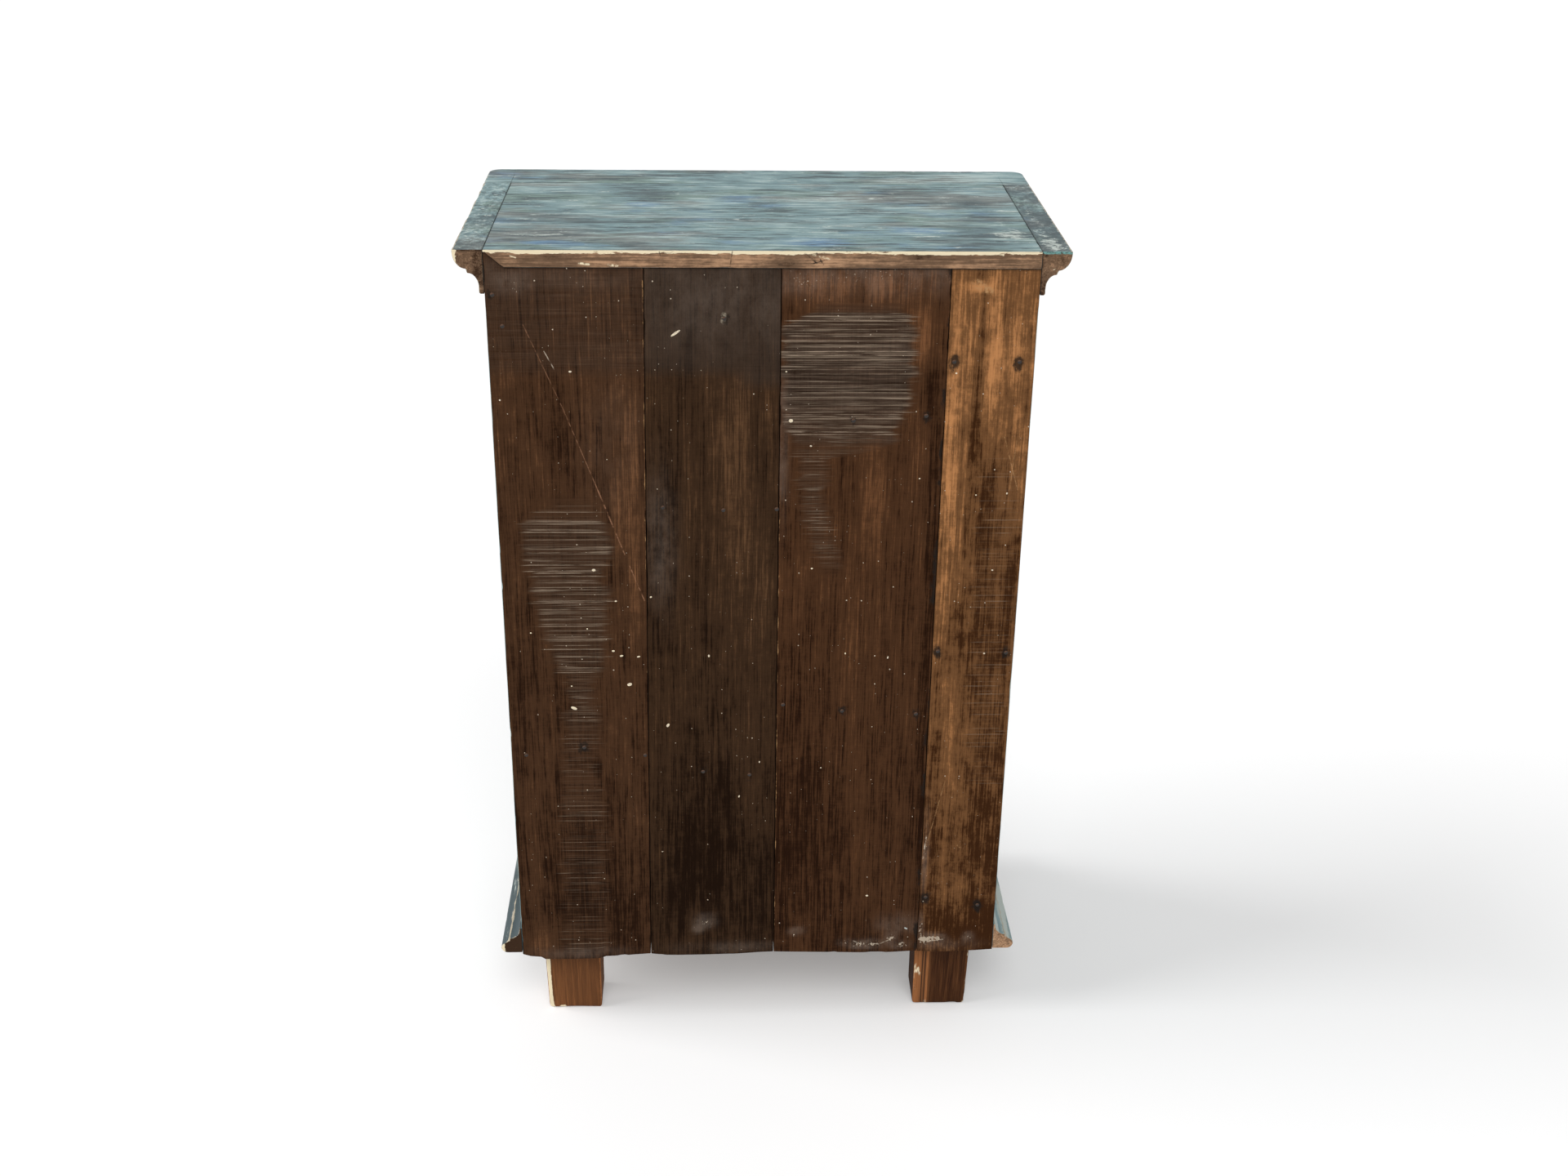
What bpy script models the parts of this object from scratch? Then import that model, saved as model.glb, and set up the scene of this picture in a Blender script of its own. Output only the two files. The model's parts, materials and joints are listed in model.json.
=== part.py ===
"""Low painted cabinet with a planked back, two panelled doors and four block feet.

Metres, +Z up. The doors face -Y and the plank back faces +Y. The origin is on
the floor, under the middle of the overall box. Left and right are those of a
person who stands in front of the doors, so left is at -X.
"""
import math

import bmesh
import bpy
from mathutils import Matrix, Vector

# Clearances
seat_gap = 0.0003
cut_overrun = 0.004
weld_distance = 0.00002

# Carcass
overall_height = 0.900
body_width = 0.532
body_depth = 0.310
leg_height = 0.090
board_thickness = 0.018
frame_thickness = 0.018
frame_stile_width = 0.045
frame_top_rail_height = 0.045
frame_bottom_rail_height = 0.045
back_rail_height = 0.045

# Top and crown
top_thickness = 0.017
crown_projection = 0.029
crown_height = 0.0427
front_board_depth = 0.0645
front_corner_radius = 0.013
crown_arris = 0.0022
crown_ovolo_drop = 0.0162
crown_ovolo_run = 0.0120
crown_step_drop = 0.0041
crown_step_run = 0.0016
crown_cove_drop = 0.0135
crown_cove_run = 0.0102
crown_foot_bevel = 0.0010
arc_steps = 5

# Base moulding
base_height = 0.0320
base_projection = 0.0235
base_lift = 0.0025
base_nose_radius = 0.0063
base_step_run = 0.0034
base_step_drop = 0.0028
base_cove_run = 0.0113
base_cove_height = 0.0120
base_top_lip = 0.0014

# Back planks, counted from the +X edge
plank_thickness = 0.018
plank_overhang = 0.008
plank_joint_gap = 0.0005
plank_1_width = 0.148
plank_2_width = 0.135
plank_3_width = 0.163
plank_1_taper = 0.0035
mitre_run = 0.0190
mitre_cover = 0.0020
plank_wear_shares = {
    1: ((0.0, 0.05), (0.06, 0.45), (0.15, 0.62), (0.17, 1.0), (0.58, 0.97), (0.62, 0.6), (1.0, 0.2)),
    2: ((0.0, 0.25), (0.1, 0.45), (0.7, 0.4), (0.88, 0.15), (1.0, 0.08)),
    3: ((0.0, 0.1), (0.55, 0.25), (0.78, 0.45), (0.9, 0.35), (1.0, 0.2)),
    4: ((0.0, 0.22), (0.74, 0.38), (0.78, 0.15), (0.97, 0.0), (1.0, -0.3)),
}

# Feet
foot_width = 0.0635
foot_depth = 0.048
foot_inset = 0.0225
foot_taper = 0.0030
foot_edge_bevel = 0.0025
foot_bevel_steps = 2
dowel_radius = 0.005
dowel_in_foot = 0.020
dowel_in_board = 0.014
dowel_sides = 12

# Inside
shelf_underside = 0.478
shelf_setback = 0.020
cleat_height = 0.022
cleat_thickness = 0.014
cleat_end_gap = 0.010
stop_height = 0.026
stop_thickness = 0.012
stop_length = 0.300
stop_overlap = 0.012

# Doors
door_thickness = frame_thickness
door_side_gap = 0.0020
door_meeting_gap = 0.0024
door_end_gap = 0.0020
door_stile_width = 0.042
door_top_rail_height = 0.045
door_bottom_rail_height = 0.060
groove_depth = 0.0090
groove_width = 0.0066
tenon_end_gap = 0.0005
panel_edge_gap = 0.0008
panel_flat_margin = 0.0115
panel_slope_width = 0.020
panel_raise = 0.0040

# Butt hinges
hinge_length = 0.050
hinge_end_distance = 0.110
knuckle_radius = 0.0035
knuckle_clearance = 0.0004
knuckle_sides = 16
pin_radius = 0.0016
pin_tip_radius = 0.0026
pin_tip_height = 0.0014
leaf_thickness = 0.0016
leaf_depth = 0.0140
leaf_gap = 0.0006
leaf_end_inset = 0.0004
screw_shank_radius = 0.0013
screw_length = 0.0110
screw_tip_length = 0.0020
screw_sides = 8
screw_spacing = 0.032

# Ring pulls
plate_radius = 0.0185
plate_thickness = 0.0022
plate_rim = 0.0040
plate_sides = 24
post_width = 0.0050
post_height = 0.0100
post_projection = 0.0105
eye_radius = 0.0024
eye_distance = 0.0062
eye_sides = 12
ring_radius = 0.0170
ring_wire_radius = 0.0018
ring_segments = 28
ring_wire_sides = 8
shank_radius = 0.0024
shank_tail = 0.0065
nut_width = 0.0095
nut_thickness = 0.0040

# Places that follow from the sizes above
half_body = body_width / 2
back_y = (body_depth + crown_projection) / 2
front_y = back_y - body_depth
frame_back_y = front_y + frame_thickness
carcass_front_y = frame_back_y + seat_gap
plank_front_y = back_y - plank_thickness
carcass_back_y = plank_front_y - seat_gap
board_rear_y = front_y - crown_projection + front_board_depth
top_under_z = overall_height - top_thickness
carcass_top_z = top_under_z - seat_gap
inner_half = half_body - board_thickness
opening_half = half_body - frame_stile_width
opening_low_z = leg_height + frame_bottom_rail_height
opening_high_z = carcass_top_z - frame_top_rail_height
door_low_z = opening_low_z + door_end_gap
door_high_z = opening_high_z - door_end_gap
door_back_y = front_y + door_thickness
pivot_half = opening_half - door_side_gap / 2
pivot_y = front_y - knuckle_radius - knuckle_clearance
pull_half = door_meeting_gap / 2 + door_stile_width / 2
pull_z = (door_low_z + door_high_z) / 2
shelf_top_z = shelf_underside + board_thickness

SIDES = (("left", -1), ("right", 1))


def clear_scene():
    """Remove whatever objects the open file holds."""
    for item in list(bpy.data.objects):
        bpy.data.objects.remove(item, do_unlink=True)


def new_collection(name):
    """Make a collection under the scene's own."""
    collection = bpy.data.collections.new(name)
    bpy.context.scene.collection.children.link(collection)
    return collection


clear_scene()
PARTS = new_collection("low_cabinet")
CUTTERS = new_collection("cutters")


def make_material(name, colour, roughness, metallic=0.0):
    """A plain Principled material."""
    material = bpy.data.materials.new(name)
    material.use_nodes = True
    shader = material.node_tree.nodes["Principled BSDF"]
    shader.inputs["Base Color"].default_value = (*colour, 1.0)
    shader.inputs["Roughness"].default_value = roughness
    shader.inputs["Metallic"].default_value = metallic
    return material


PAINT = make_material("worn_blue_paint", (0.22, 0.31, 0.34), 0.55)
PLANK_WOODS = {
    1: make_material("plank_red_brown", (0.070, 0.038, 0.027), 0.65),
    2: make_material("plank_black_brown", (0.040, 0.027, 0.021), 0.65),
    3: make_material("plank_chestnut", (0.115, 0.055, 0.034), 0.65),
    4: make_material("plank_honey", (0.190, 0.100, 0.052), 0.60),
}
FOOT_WOOD = make_material("foot_wood", (0.110, 0.058, 0.035), 0.70)
INNER_WOOD = make_material("inner_wood", (0.240, 0.150, 0.085), 0.75)
DOWEL_WOOD = make_material("dowel_wood", (0.430, 0.300, 0.180), 0.70)
IRON = make_material("blackened_iron", (0.045, 0.040, 0.037), 0.55, 0.90)


def place(item, collection, material=None):
    """Keep an object in one collection only and give it its material."""
    for holder in list(item.users_collection):
        holder.objects.unlink(item)
    collection.objects.link(item)
    if material:
        item.data.materials.clear()
        item.data.materials.append(material)
    return item


def add_box_to(mesh_edit, low, high):
    """Add one box, given by two corners, to an open bmesh."""
    size = [high[axis] - low[axis] for axis in range(3)]
    middle = [(high[axis] + low[axis]) / 2 for axis in range(3)]
    matrix = Matrix.Translation(middle) @ Matrix.Diagonal((*size, 1))
    bmesh.ops.create_cube(mesh_edit, size=1, matrix=matrix)


def boxes_mesh(name, boxes):
    """A mesh of separate boxes, each given by its low and high corner."""
    mesh_edit = bmesh.new()
    for low, high in boxes:
        add_box_to(mesh_edit, low, high)
    mesh = bpy.data.meshes.new(name)
    mesh_edit.to_mesh(mesh)
    mesh_edit.free()
    return mesh


def block(name, x_range, y_range, z_range, material):
    """A rectangular piece of wood, with its origin at its middle."""
    low = (min(x_range), min(y_range), min(z_range))
    high = (max(x_range), max(y_range), max(z_range))
    middle = Vector([(low[axis] + high[axis]) / 2 for axis in range(3)])
    mesh = boxes_mesh(name, [(Vector(low) - middle, Vector(high) - middle)])
    item = bpy.data.objects.new(name, mesh)
    item.location = middle
    return place(item, PARTS, material)


def cutter(name, mesh):
    """A hidden object that only serves as a Boolean operand."""
    item = bpy.data.objects.new(name, mesh)
    item.hide_render = True
    item.display_type = "WIRE"
    return place(item, CUTTERS)


def boolean(item, tool, operation="DIFFERENCE"):
    """Cut, join or intersect an object with a cutter."""
    modifier = item.modifiers.new(tool.name, "BOOLEAN")
    modifier.object = tool
    modifier.operation = operation
    modifier.solver = "EXACT"


def cut_boxes(item, boxes):
    """Cut boxes, given by their corners in world space, out of a piece."""
    boolean(item, cutter(f"cut_{item.name}_{len(item.modifiers)}", boxes_mesh("cut", boxes)))


def solid_mesh(source, name):
    """The evaluated mesh of an object with its loose caps welded; the source is removed."""
    bpy.context.view_layer.update()
    evaluated = source.evaluated_get(bpy.context.evaluated_depsgraph_get())
    mesh = bpy.data.meshes.new_from_object(evaluated)
    mesh.name = name
    mesh_edit = bmesh.new()
    mesh_edit.from_mesh(mesh)
    bmesh.ops.remove_doubles(mesh_edit, verts=mesh_edit.verts, dist=weld_distance)
    bmesh.ops.recalc_face_normals(mesh_edit, faces=mesh_edit.faces)
    mesh_edit.to_mesh(mesh)
    mesh_edit.free()
    bpy.data.objects.remove(source, do_unlink=True)
    return mesh


def outline_mesh(name, points, thickness):
    """A flat outline in the local XY plane, extruded both ways along local Z."""
    curve = bpy.data.curves.new(name, "CURVE")
    curve.dimensions = "2D"
    curve.fill_mode = "BOTH"
    curve.extrude = thickness / 2
    spline = curve.splines.new("POLY")
    spline.points.add(len(points) - 1)
    for spline_point, (across, along) in zip(spline.points, points):
        spline_point.co = (across, along, 0, 1)
    spline.use_cyclic_u = True
    source = place(bpy.data.objects.new(name, curve), PARTS)
    return solid_mesh(source, name)


def turned_mesh(name, profile, sides):
    """A profile of (radius, height) points, top to bottom, turned about local Z."""
    mesh = bpy.data.meshes.new(name)
    vertices = [(radius, 0, height) for radius, height in profile]
    edges = [(index, index + 1) for index in range(len(profile) - 1)]
    mesh.from_pydata(vertices, edges, [])
    source = place(bpy.data.objects.new(name, mesh), PARTS)
    screw = source.modifiers.new("turn", "SCREW")
    screw.steps = sides
    screw.render_steps = sides
    screw.use_merge_vertices = True
    screw.merge_threshold = weld_distance
    return solid_mesh(source, name)


def copies_mesh(name, mesh, matrices):
    """Separate copies of one mesh, as one mesh in world space."""
    mesh_edit = bmesh.new()
    for matrix in matrices:
        first = len(mesh_edit.verts)
        mesh_edit.from_mesh(mesh)
        mesh_edit.verts.ensure_lookup_table()
        bmesh.ops.transform(mesh_edit, matrix=matrix, verts=mesh_edit.verts[first:])
    joined = bpy.data.meshes.new(name)
    mesh_edit.to_mesh(joined)
    mesh_edit.free()
    return joined


def shade_round(item):
    """Smooth shading that keeps the sharp edges of a turned piece."""
    item.data.shade_smooth()
    item.data.set_sharp_from_angle(angle=math.radians(40))
    return item


def solid(name, mesh, matrix, material):
    """A round piece from a turned mesh, stood in its place."""
    item = bpy.data.objects.new(name, mesh)
    item.matrix_world = matrix
    return shade_round(place(item, PARTS, material))


def arc(centre, radii, start, end):
    """Points along a quarter, or other stretch, of an ellipse."""
    points = []
    for step in range(arc_steps + 1):
        angle = math.radians(start + (end - start) * step / arc_steps)
        points.append((centre[0] + radii[0] * math.cos(angle), centre[1] + radii[1] * math.sin(angle)))
    return points


def crown_profile():
    """(outward, upward) points of the crown, from its top edge down to its foot.

    An arris, a convex ovolo, a small step and a hollow cove, as the end grain
    at the back corners shows them. Outward is counted from the body's side and
    upward from the underside of the crown.
    """
    ovolo_out = crown_projection - crown_ovolo_run
    ovolo_top = crown_height - crown_arris
    points = [(crown_projection, crown_height)]
    points += arc((ovolo_out, ovolo_top), (crown_ovolo_run, crown_ovolo_drop), 0, -90)
    step_out = ovolo_out - crown_step_run
    step_up = ovolo_top - crown_ovolo_drop - crown_step_drop
    cove_up = step_up - crown_cove_drop
    points += arc((step_out, cove_up), (crown_cove_run, crown_cove_drop), 90, 180)
    foot_out = step_out - crown_cove_run
    points += [(foot_out, crown_foot_bevel), (foot_out - crown_foot_bevel, 0)]
    return points


def base_profile():
    """(outward, upward) points of the base moulding, from its top lip down to its underside.

    A hollow cove over a step and a round nose. Outward is counted from the
    body's side and upward from the moulding's underside.
    """
    nose_out = base_projection - base_nose_radius
    cove_out = nose_out - base_step_run
    cove_up = base_height - base_top_lip
    points = [(cove_out - base_cove_run, base_height)]
    points += arc((cove_out, cove_up), (base_cove_run, base_cove_height), 180, 270)
    points.append((cove_out, cove_up - base_cove_height - base_step_drop))
    points += arc((nose_out, base_nose_radius), (base_nose_radius, base_nose_radius), 60, -90)
    return points


def run_matrix(middle, outward_degrees):
    """Stands a profile up: local X outward, local Y up, local Z along the run."""
    turn = Matrix.Rotation(math.radians(outward_degrees), 4, "Z")
    return Matrix.Translation(middle) @ turn @ Matrix.Rotation(math.radians(90), 4, "X")


def moulding(name, profile, length, matrix, mitre_low, mitre_high, material):
    """A straight moulding that seats on the line out = 0, whose ends may be mitred at 45 degrees.

    A mitre lengthens its end of the run by each point's own distance outward.
    """
    closed = [(seat_gap, profile[-1][1])] + list(reversed(profile)) + [(seat_gap, profile[0][1])]
    mesh = outline_mesh(name, closed, length)
    for vertex in mesh.vertices:
        if vertex.co.z < 0:
            vertex.co.z -= mitre_low * vertex.co.x
        else:
            vertex.co.z += mitre_high * vertex.co.x
    item = bpy.data.objects.new(name, mesh)
    item.matrix_world = matrix
    return place(item, PARTS, material)


def build_top_panel():
    """The central board of the top, whose back edge shows over the planks."""
    panel = block(
        "top_panel",
        (-half_body, half_body),
        (board_rear_y + seat_gap, back_y),
        (top_under_z, overall_height),
        PAINT,
    )
    # The corner at +X is cut back at a slant where the first plank rises beside it
    corner = [
        (half_body + cut_overrun, top_under_z - cut_overrun),
        (half_body + cut_overrun, overall_height - mitre_cover),
        (half_body - mitre_cover - seat_gap, overall_height - mitre_cover),
        (half_body - mitre_run - seat_gap, top_under_z),
        (half_body - mitre_run - seat_gap, top_under_z - cut_overrun),
    ]
    mesh = outline_mesh("cut_top_corner", corner, plank_thickness + 2 * seat_gap + 2 * cut_overrun)
    tool = cutter("cut_top_corner", mesh)
    tool.matrix_world = run_matrix((0, back_y + cut_overrun - plank_thickness / 2, 0), 0)
    boolean(panel, tool)


def build_front_board():
    """The front board of the top: moulded on its front and both ends, rebated over the carcass."""
    low_z = overall_height - crown_height
    profile = crown_profile()
    front = [(front_y - out, low_z + up) for out, up in profile]
    front += [(board_rear_y, low_z), (board_rear_y, overall_height)]
    board = bpy.data.objects.new(
        "top_front_board",
        outline_mesh("top_front_board", front, body_width + 2 * crown_projection + 2 * cut_overrun),
    )
    board.matrix_world = run_matrix((0, 0, 0), 90)
    place(board, PARTS, PAINT)

    ends = [(half_body + out, low_z + up) for out, up in profile]
    ends += [(-across, up) for across, up in reversed(ends)]
    ends_mesh = outline_mesh("keep_front_board_ends", ends, front_board_depth * 4)
    ends_tool = cutter("keep_front_board_ends", ends_mesh)
    ends_tool.matrix_world = run_matrix((0, board_rear_y, 0), 0)
    boolean(board, ends_tool, "INTERSECT")

    edge_x = half_body + crown_projection
    edge_y = front_y - crown_projection
    radius = front_corner_radius
    plan = [(edge_x + cut_overrun, board_rear_y + cut_overrun)]
    plan += [(-edge_x - cut_overrun, board_rear_y + cut_overrun)]
    plan += arc((-edge_x + radius, edge_y + radius), (radius, radius), 180, 270)
    plan += arc((edge_x - radius, edge_y + radius), (radius, radius), 270, 360)
    plan_mesh = outline_mesh("keep_front_board_plan", plan, crown_height * 3)
    plan_tool = cutter("keep_front_board_plan", plan_mesh)
    plan_tool.location = (0, 0, overall_height - crown_height / 2)
    boolean(board, plan_tool, "INTERSECT")

    half_cut = half_body + seat_gap
    cut_boxes(board, [(
        (-half_cut, front_y - seat_gap, low_z - cut_overrun),
        (half_cut, board_rear_y + cut_overrun, top_under_z),
    )])


def build_side_crowns():
    """The crown mouldings on both sides, from the front board back to the planks."""
    run_low = board_rear_y + seat_gap
    for side, sign in SIDES:
        moulding(
            f"crown_{side}",
            crown_profile(),
            back_y - run_low,
            run_matrix(
                (sign * half_body, (run_low + back_y) / 2, overall_height - crown_height),
                0 if sign > 0 else 180,
            ),
            0,
            0,
            PAINT,
        )


def build_carcass():
    """Side panels, face frame, bottom board and the rail behind the planks' top ends."""
    for side, sign in SIDES:
        block(
            f"side_panel_{side}",
            (sign * inner_half, sign * half_body),
            (carcass_front_y, carcass_back_y),
            (leg_height, carcass_top_z),
            PAINT,
        )
    rail_half = opening_half - seat_gap
    block(
        "front_rail_top",
        (-rail_half, rail_half),
        (front_y, frame_back_y),
        (opening_high_z, carcass_top_z),
        PAINT,
    )
    block(
        "front_rail_bottom",
        (-rail_half, rail_half),
        (front_y, frame_back_y),
        (leg_height, opening_low_z),
        PAINT,
    )
    block(
        "back_rail_top",
        (-inner_half + seat_gap, inner_half - seat_gap),
        (carcass_back_y - board_thickness, carcass_back_y),
        (carcass_top_z - back_rail_height, carcass_top_z),
        INNER_WOOD,
    )


def hinge_heights():
    """Middle heights of the lower and the upper hinge."""
    return (opening_low_z + hinge_end_distance, opening_high_z - hinge_end_distance)


def screw_heights(hinge_height):
    """Heights of the two screws of one hinge leaf."""
    return (hinge_height - screw_spacing / 2, hinge_height + screw_spacing / 2)


def screw_mesh(name, growth):
    """A screw's shank, which starts inside its hinge leaf, or the hole that takes it."""
    radius = screw_shank_radius + growth
    start = -leaf_thickness / 2
    tip = -screw_length - growth
    profile = [(0, start), (radius, start), (radius, tip + screw_tip_length), (0, tip)]
    return turned_mesh(name, profile, screw_sides)


def screw_matrices(sign, toward_frame, heights):
    """Places of screws at the given heights, each starting at its leaf's open face."""
    direction = sign if toward_frame else -sign
    face_x = sign * pivot_half + direction * leaf_gap / 2
    turn = Matrix.Rotation(-direction * math.radians(90), 4, "Y")
    middle_y = front_y + leaf_depth / 2
    return [Matrix.Translation((face_x, middle_y, height)) @ turn for height in heights]


def leaf_recesses(sign, toward_frame):
    """Boxes cut out of a stile's edge so that the hinge leaves sit flush in it."""
    direction = sign if toward_frame else -sign
    face = sign * pivot_half
    reach = face + direction * (leaf_gap / 2 + leaf_thickness + seat_gap)
    boxes = []
    for height in hinge_heights():
        half_length = hinge_length / 2 + seat_gap
        low = (min(face, reach), front_y - cut_overrun, height - half_length)
        high = (max(face, reach), front_y + leaf_depth + seat_gap, height + half_length)
        boxes.append((low, high))
    return boxes


def screw_cutter(name, sign, toward_frame):
    """The holes for all the hinge screws of one stile."""
    heights = [height for middle in hinge_heights() for height in screw_heights(middle)]
    matrices = screw_matrices(sign, toward_frame, heights)
    return cutter(name, copies_mesh(name, screw_mesh(name, seat_gap), matrices))


def build_front_stiles():
    """The two upright members of the face frame, let in for the hinges."""
    for side, sign in SIDES:
        stile = block(
            f"front_stile_{side}",
            (sign * opening_half, sign * half_body),
            (front_y, frame_back_y),
            (leg_height, carcass_top_z),
            PAINT,
        )
        cut_boxes(stile, leaf_recesses(sign, True))
        boolean(stile, screw_cutter(f"cut_frame_screws_{side}", sign, True))


def build_base_mouldings():
    """Base mouldings round the front and both sides, mitred at the front corners."""
    profile = base_profile()
    low_z = leg_height + base_lift
    run_low = front_y + seat_gap / 2
    for side, sign in SIDES:
        moulding(
            f"base_moulding_{side}",
            profile,
            back_y - run_low,
            run_matrix((sign * half_body, (run_low + back_y) / 2, low_z), 0 if sign > 0 else 180),
            0 if sign > 0 else 1,
            1 if sign > 0 else 0,
            PAINT,
        )
    moulding(
        "base_moulding_front",
        profile,
        body_width - seat_gap,
        run_matrix((0, front_y, low_z), -90),
        1,
        1,
        PAINT,
    )


def plank_edges():
    """(+X edge, -X edge) of each plank at its middle height."""
    widths = (plank_1_width, plank_2_width, plank_3_width)
    edges = {}
    start = half_body
    for number, width in enumerate(widths, start=1):
        edges[number] = (start, start - width)
        start -= width
    edges[4] = (start, -half_body)
    return edges


def joint_x(number, x_middle, share_up):
    """Where a plank's edge lies at a height; the joint of planks 1 and 2 leans a little."""
    leaning = number == 1
    return x_middle - (plank_1_taper * (share_up - 0.5) * 2 if leaning else 0)


def build_back_planks():
    """Four upright planks with uneven lower ends."""
    for number, (edge_high, edge_low) in plank_edges().items():
        gap_high = 0 if number == 1 else plank_joint_gap / 2
        gap_low = 0 if number == 4 else plank_joint_gap / 2
        outline = []
        for across, drop in plank_wear_shares[number]:
            high = joint_x(number - 1, edge_high - gap_high, 0)
            low = joint_x(number, edge_low + gap_low, 0)
            outline.append((high + (low - high) * across, leg_height - plank_overhang * drop))
        outline.append((joint_x(number, edge_low + gap_low, 1), carcass_top_z))
        if number == 1:
            outline.append((half_body - mitre_run, carcass_top_z))
            outline.append((half_body - mitre_cover, overall_height - mitre_cover - seat_gap))
            outline.append((half_body, overall_height - mitre_cover - seat_gap))
        else:
            outline.append((joint_x(number - 1, edge_high - gap_high, 1), carcass_top_z))
        plank = bpy.data.objects.new(
            f"back_plank_{number}", outline_mesh(f"back_plank_{number}", outline, plank_thickness)
        )
        plank.matrix_world = run_matrix((0, back_y - plank_thickness / 2, 0), 0)
        place(plank, PARTS, PLANK_WOODS[number])


def foot_places():
    """Name, middle x and y and outward sign of each foot."""
    middle_x = half_body - foot_inset - foot_width / 2
    places = []
    for side, sign in SIDES:
        places.append((f"front_{side}", sign * middle_x, carcass_front_y + foot_depth / 2, sign))
        places.append((f"back_{side}", sign * middle_x, carcass_back_y - foot_depth / 2, sign))
    return places


def dowel_mesh(name, growth):
    """The dowel between a foot and the bottom board, or its hole."""
    radius = dowel_radius + growth
    high = dowel_in_board + growth
    low = -dowel_in_foot - growth
    return turned_mesh(name, [(0, high), (radius, high), (radius, low), (0, low)], dowel_sides)


def build_feet_and_bottom():
    """Block feet that taper a little on their outer side, dowelled to the bottom board."""
    bottom = block(
        "bottom_board",
        (-inner_half + seat_gap, inner_half - seat_gap),
        (carcass_front_y, carcass_back_y),
        (leg_height, leg_height + board_thickness),
        INNER_WOOD,
    )
    foot_top = leg_height - seat_gap
    dowel = dowel_mesh("foot_dowel", 0)
    hole = dowel_mesh("dowel_hole", seat_gap)
    matrices = [Matrix.Translation((x, y, leg_height)) for _, x, y, _ in foot_places()]
    holes = cutter("cut_dowels", copies_mesh("cut_dowels", hole, matrices))
    boolean(bottom, holes)
    for (name, x, y, sign), matrix in zip(foot_places(), matrices):
        foot = block(
            f"foot_{name}",
            (x - foot_width / 2, x + foot_width / 2),
            (y - foot_depth / 2, y + foot_depth / 2),
            (0, foot_top),
            FOOT_WOOD,
        )
        for vertex in foot.data.vertices:
            if vertex.co.z < 0 and vertex.co.x * sign > 0:
                vertex.co.x -= sign * foot_taper
        bevel = foot.modifiers.new("worn_edges", "BEVEL")
        bevel.width = foot_edge_bevel
        bevel.segments = foot_bevel_steps
        boolean(foot, holes)
        solid(f"foot_dowel_{name}", dowel, matrix, DOWEL_WOOD)


def build_inside():
    """The shelf on its two cleats, and the strip that both doors close against."""
    shelf_front_y = door_back_y + shelf_setback
    block(
        "shelf",
        (-inner_half + seat_gap, inner_half - seat_gap),
        (shelf_front_y, carcass_back_y),
        (shelf_underside, shelf_top_z),
        INNER_WOOD,
    )
    for side, sign in SIDES:
        block(
            f"shelf_cleat_{side}",
            (sign * (inner_half - seat_gap), sign * (inner_half - seat_gap - cleat_thickness)),
            (shelf_front_y + cleat_end_gap, carcass_back_y - cleat_end_gap),
            (shelf_underside - seat_gap - cleat_height, shelf_underside - seat_gap),
            INNER_WOOD,
        )
    stop_low_z = door_high_z - stop_overlap
    block(
        "door_stop",
        (-stop_length / 2, stop_length / 2),
        (carcass_front_y, carcass_front_y + stop_thickness),
        (stop_low_z, stop_low_z + stop_height),
        INNER_WOOD,
    )


def make_pivot(name, location):
    """An empty on a joint's axis."""
    pivot = bpy.data.objects.new(name, None)
    pivot.location = location
    pivot.empty_display_size = knuckle_radius
    PARTS.objects.link(pivot)
    return pivot


def attach(pivot, items):
    """Parent pieces to a pivot and leave them where they stand."""
    bpy.context.view_layer.update()
    for item in items:
        world = item.matrix_world.copy()
        item.parent = pivot
        item.matrix_parent_inverse = pivot.matrix_world.inverted()
        item.matrix_world = world


def door_span(sign):
    """(meeting edge, hinge edge) of a door along X."""
    return sign * door_meeting_gap / 2, sign * (opening_half - door_side_gap)


def build_door_stiles(side, sign):
    """Both upright members of one door, grooved for the rails and the panel."""
    meeting_x, hinge_x = door_span(sign)
    middle_y = front_y + door_thickness / 2
    groove_y = (middle_y - groove_width / 2, middle_y + groove_width / 2)
    door_z = (door_low_z, door_high_z)
    hinge_inner = hinge_x - sign * door_stile_width
    meeting_inner = meeting_x + sign * door_stile_width
    hinge_stile = block(
        f"door_{side}_hinge_stile", (hinge_inner, hinge_x), (front_y, door_back_y), door_z, PAINT
    )
    meeting_stile = block(
        f"door_{side}_meeting_stile", (meeting_x, meeting_inner), (front_y, door_back_y), door_z, PAINT
    )
    for stile, inner, inward in ((hinge_stile, hinge_inner, -sign), (meeting_stile, meeting_inner, sign)):
        ends = (inner + inward * cut_overrun, inner - inward * groove_depth)
        cut_boxes(stile, [(
            (min(ends), groove_y[0], door_low_z - cut_overrun),
            (max(ends), groove_y[1], door_high_z + cut_overrun),
        )])
    cut_boxes(hinge_stile, leaf_recesses(sign, False))
    boolean(hinge_stile, screw_cutter(f"cut_door_screws_{side}", sign, False))
    shank_hole = turned_mesh(
        "shank_hole",
        [
            (0, cut_overrun),
            (shank_radius + seat_gap, cut_overrun),
            (shank_radius + seat_gap, -door_thickness - cut_overrun),
            (0, -door_thickness - cut_overrun),
        ],
        eye_sides,
    )
    tool = cutter(f"cut_shank_{side}", shank_hole)
    tool.matrix_world = pull_matrix(sign)
    boolean(meeting_stile, tool)
    return [hinge_stile, meeting_stile]


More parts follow.
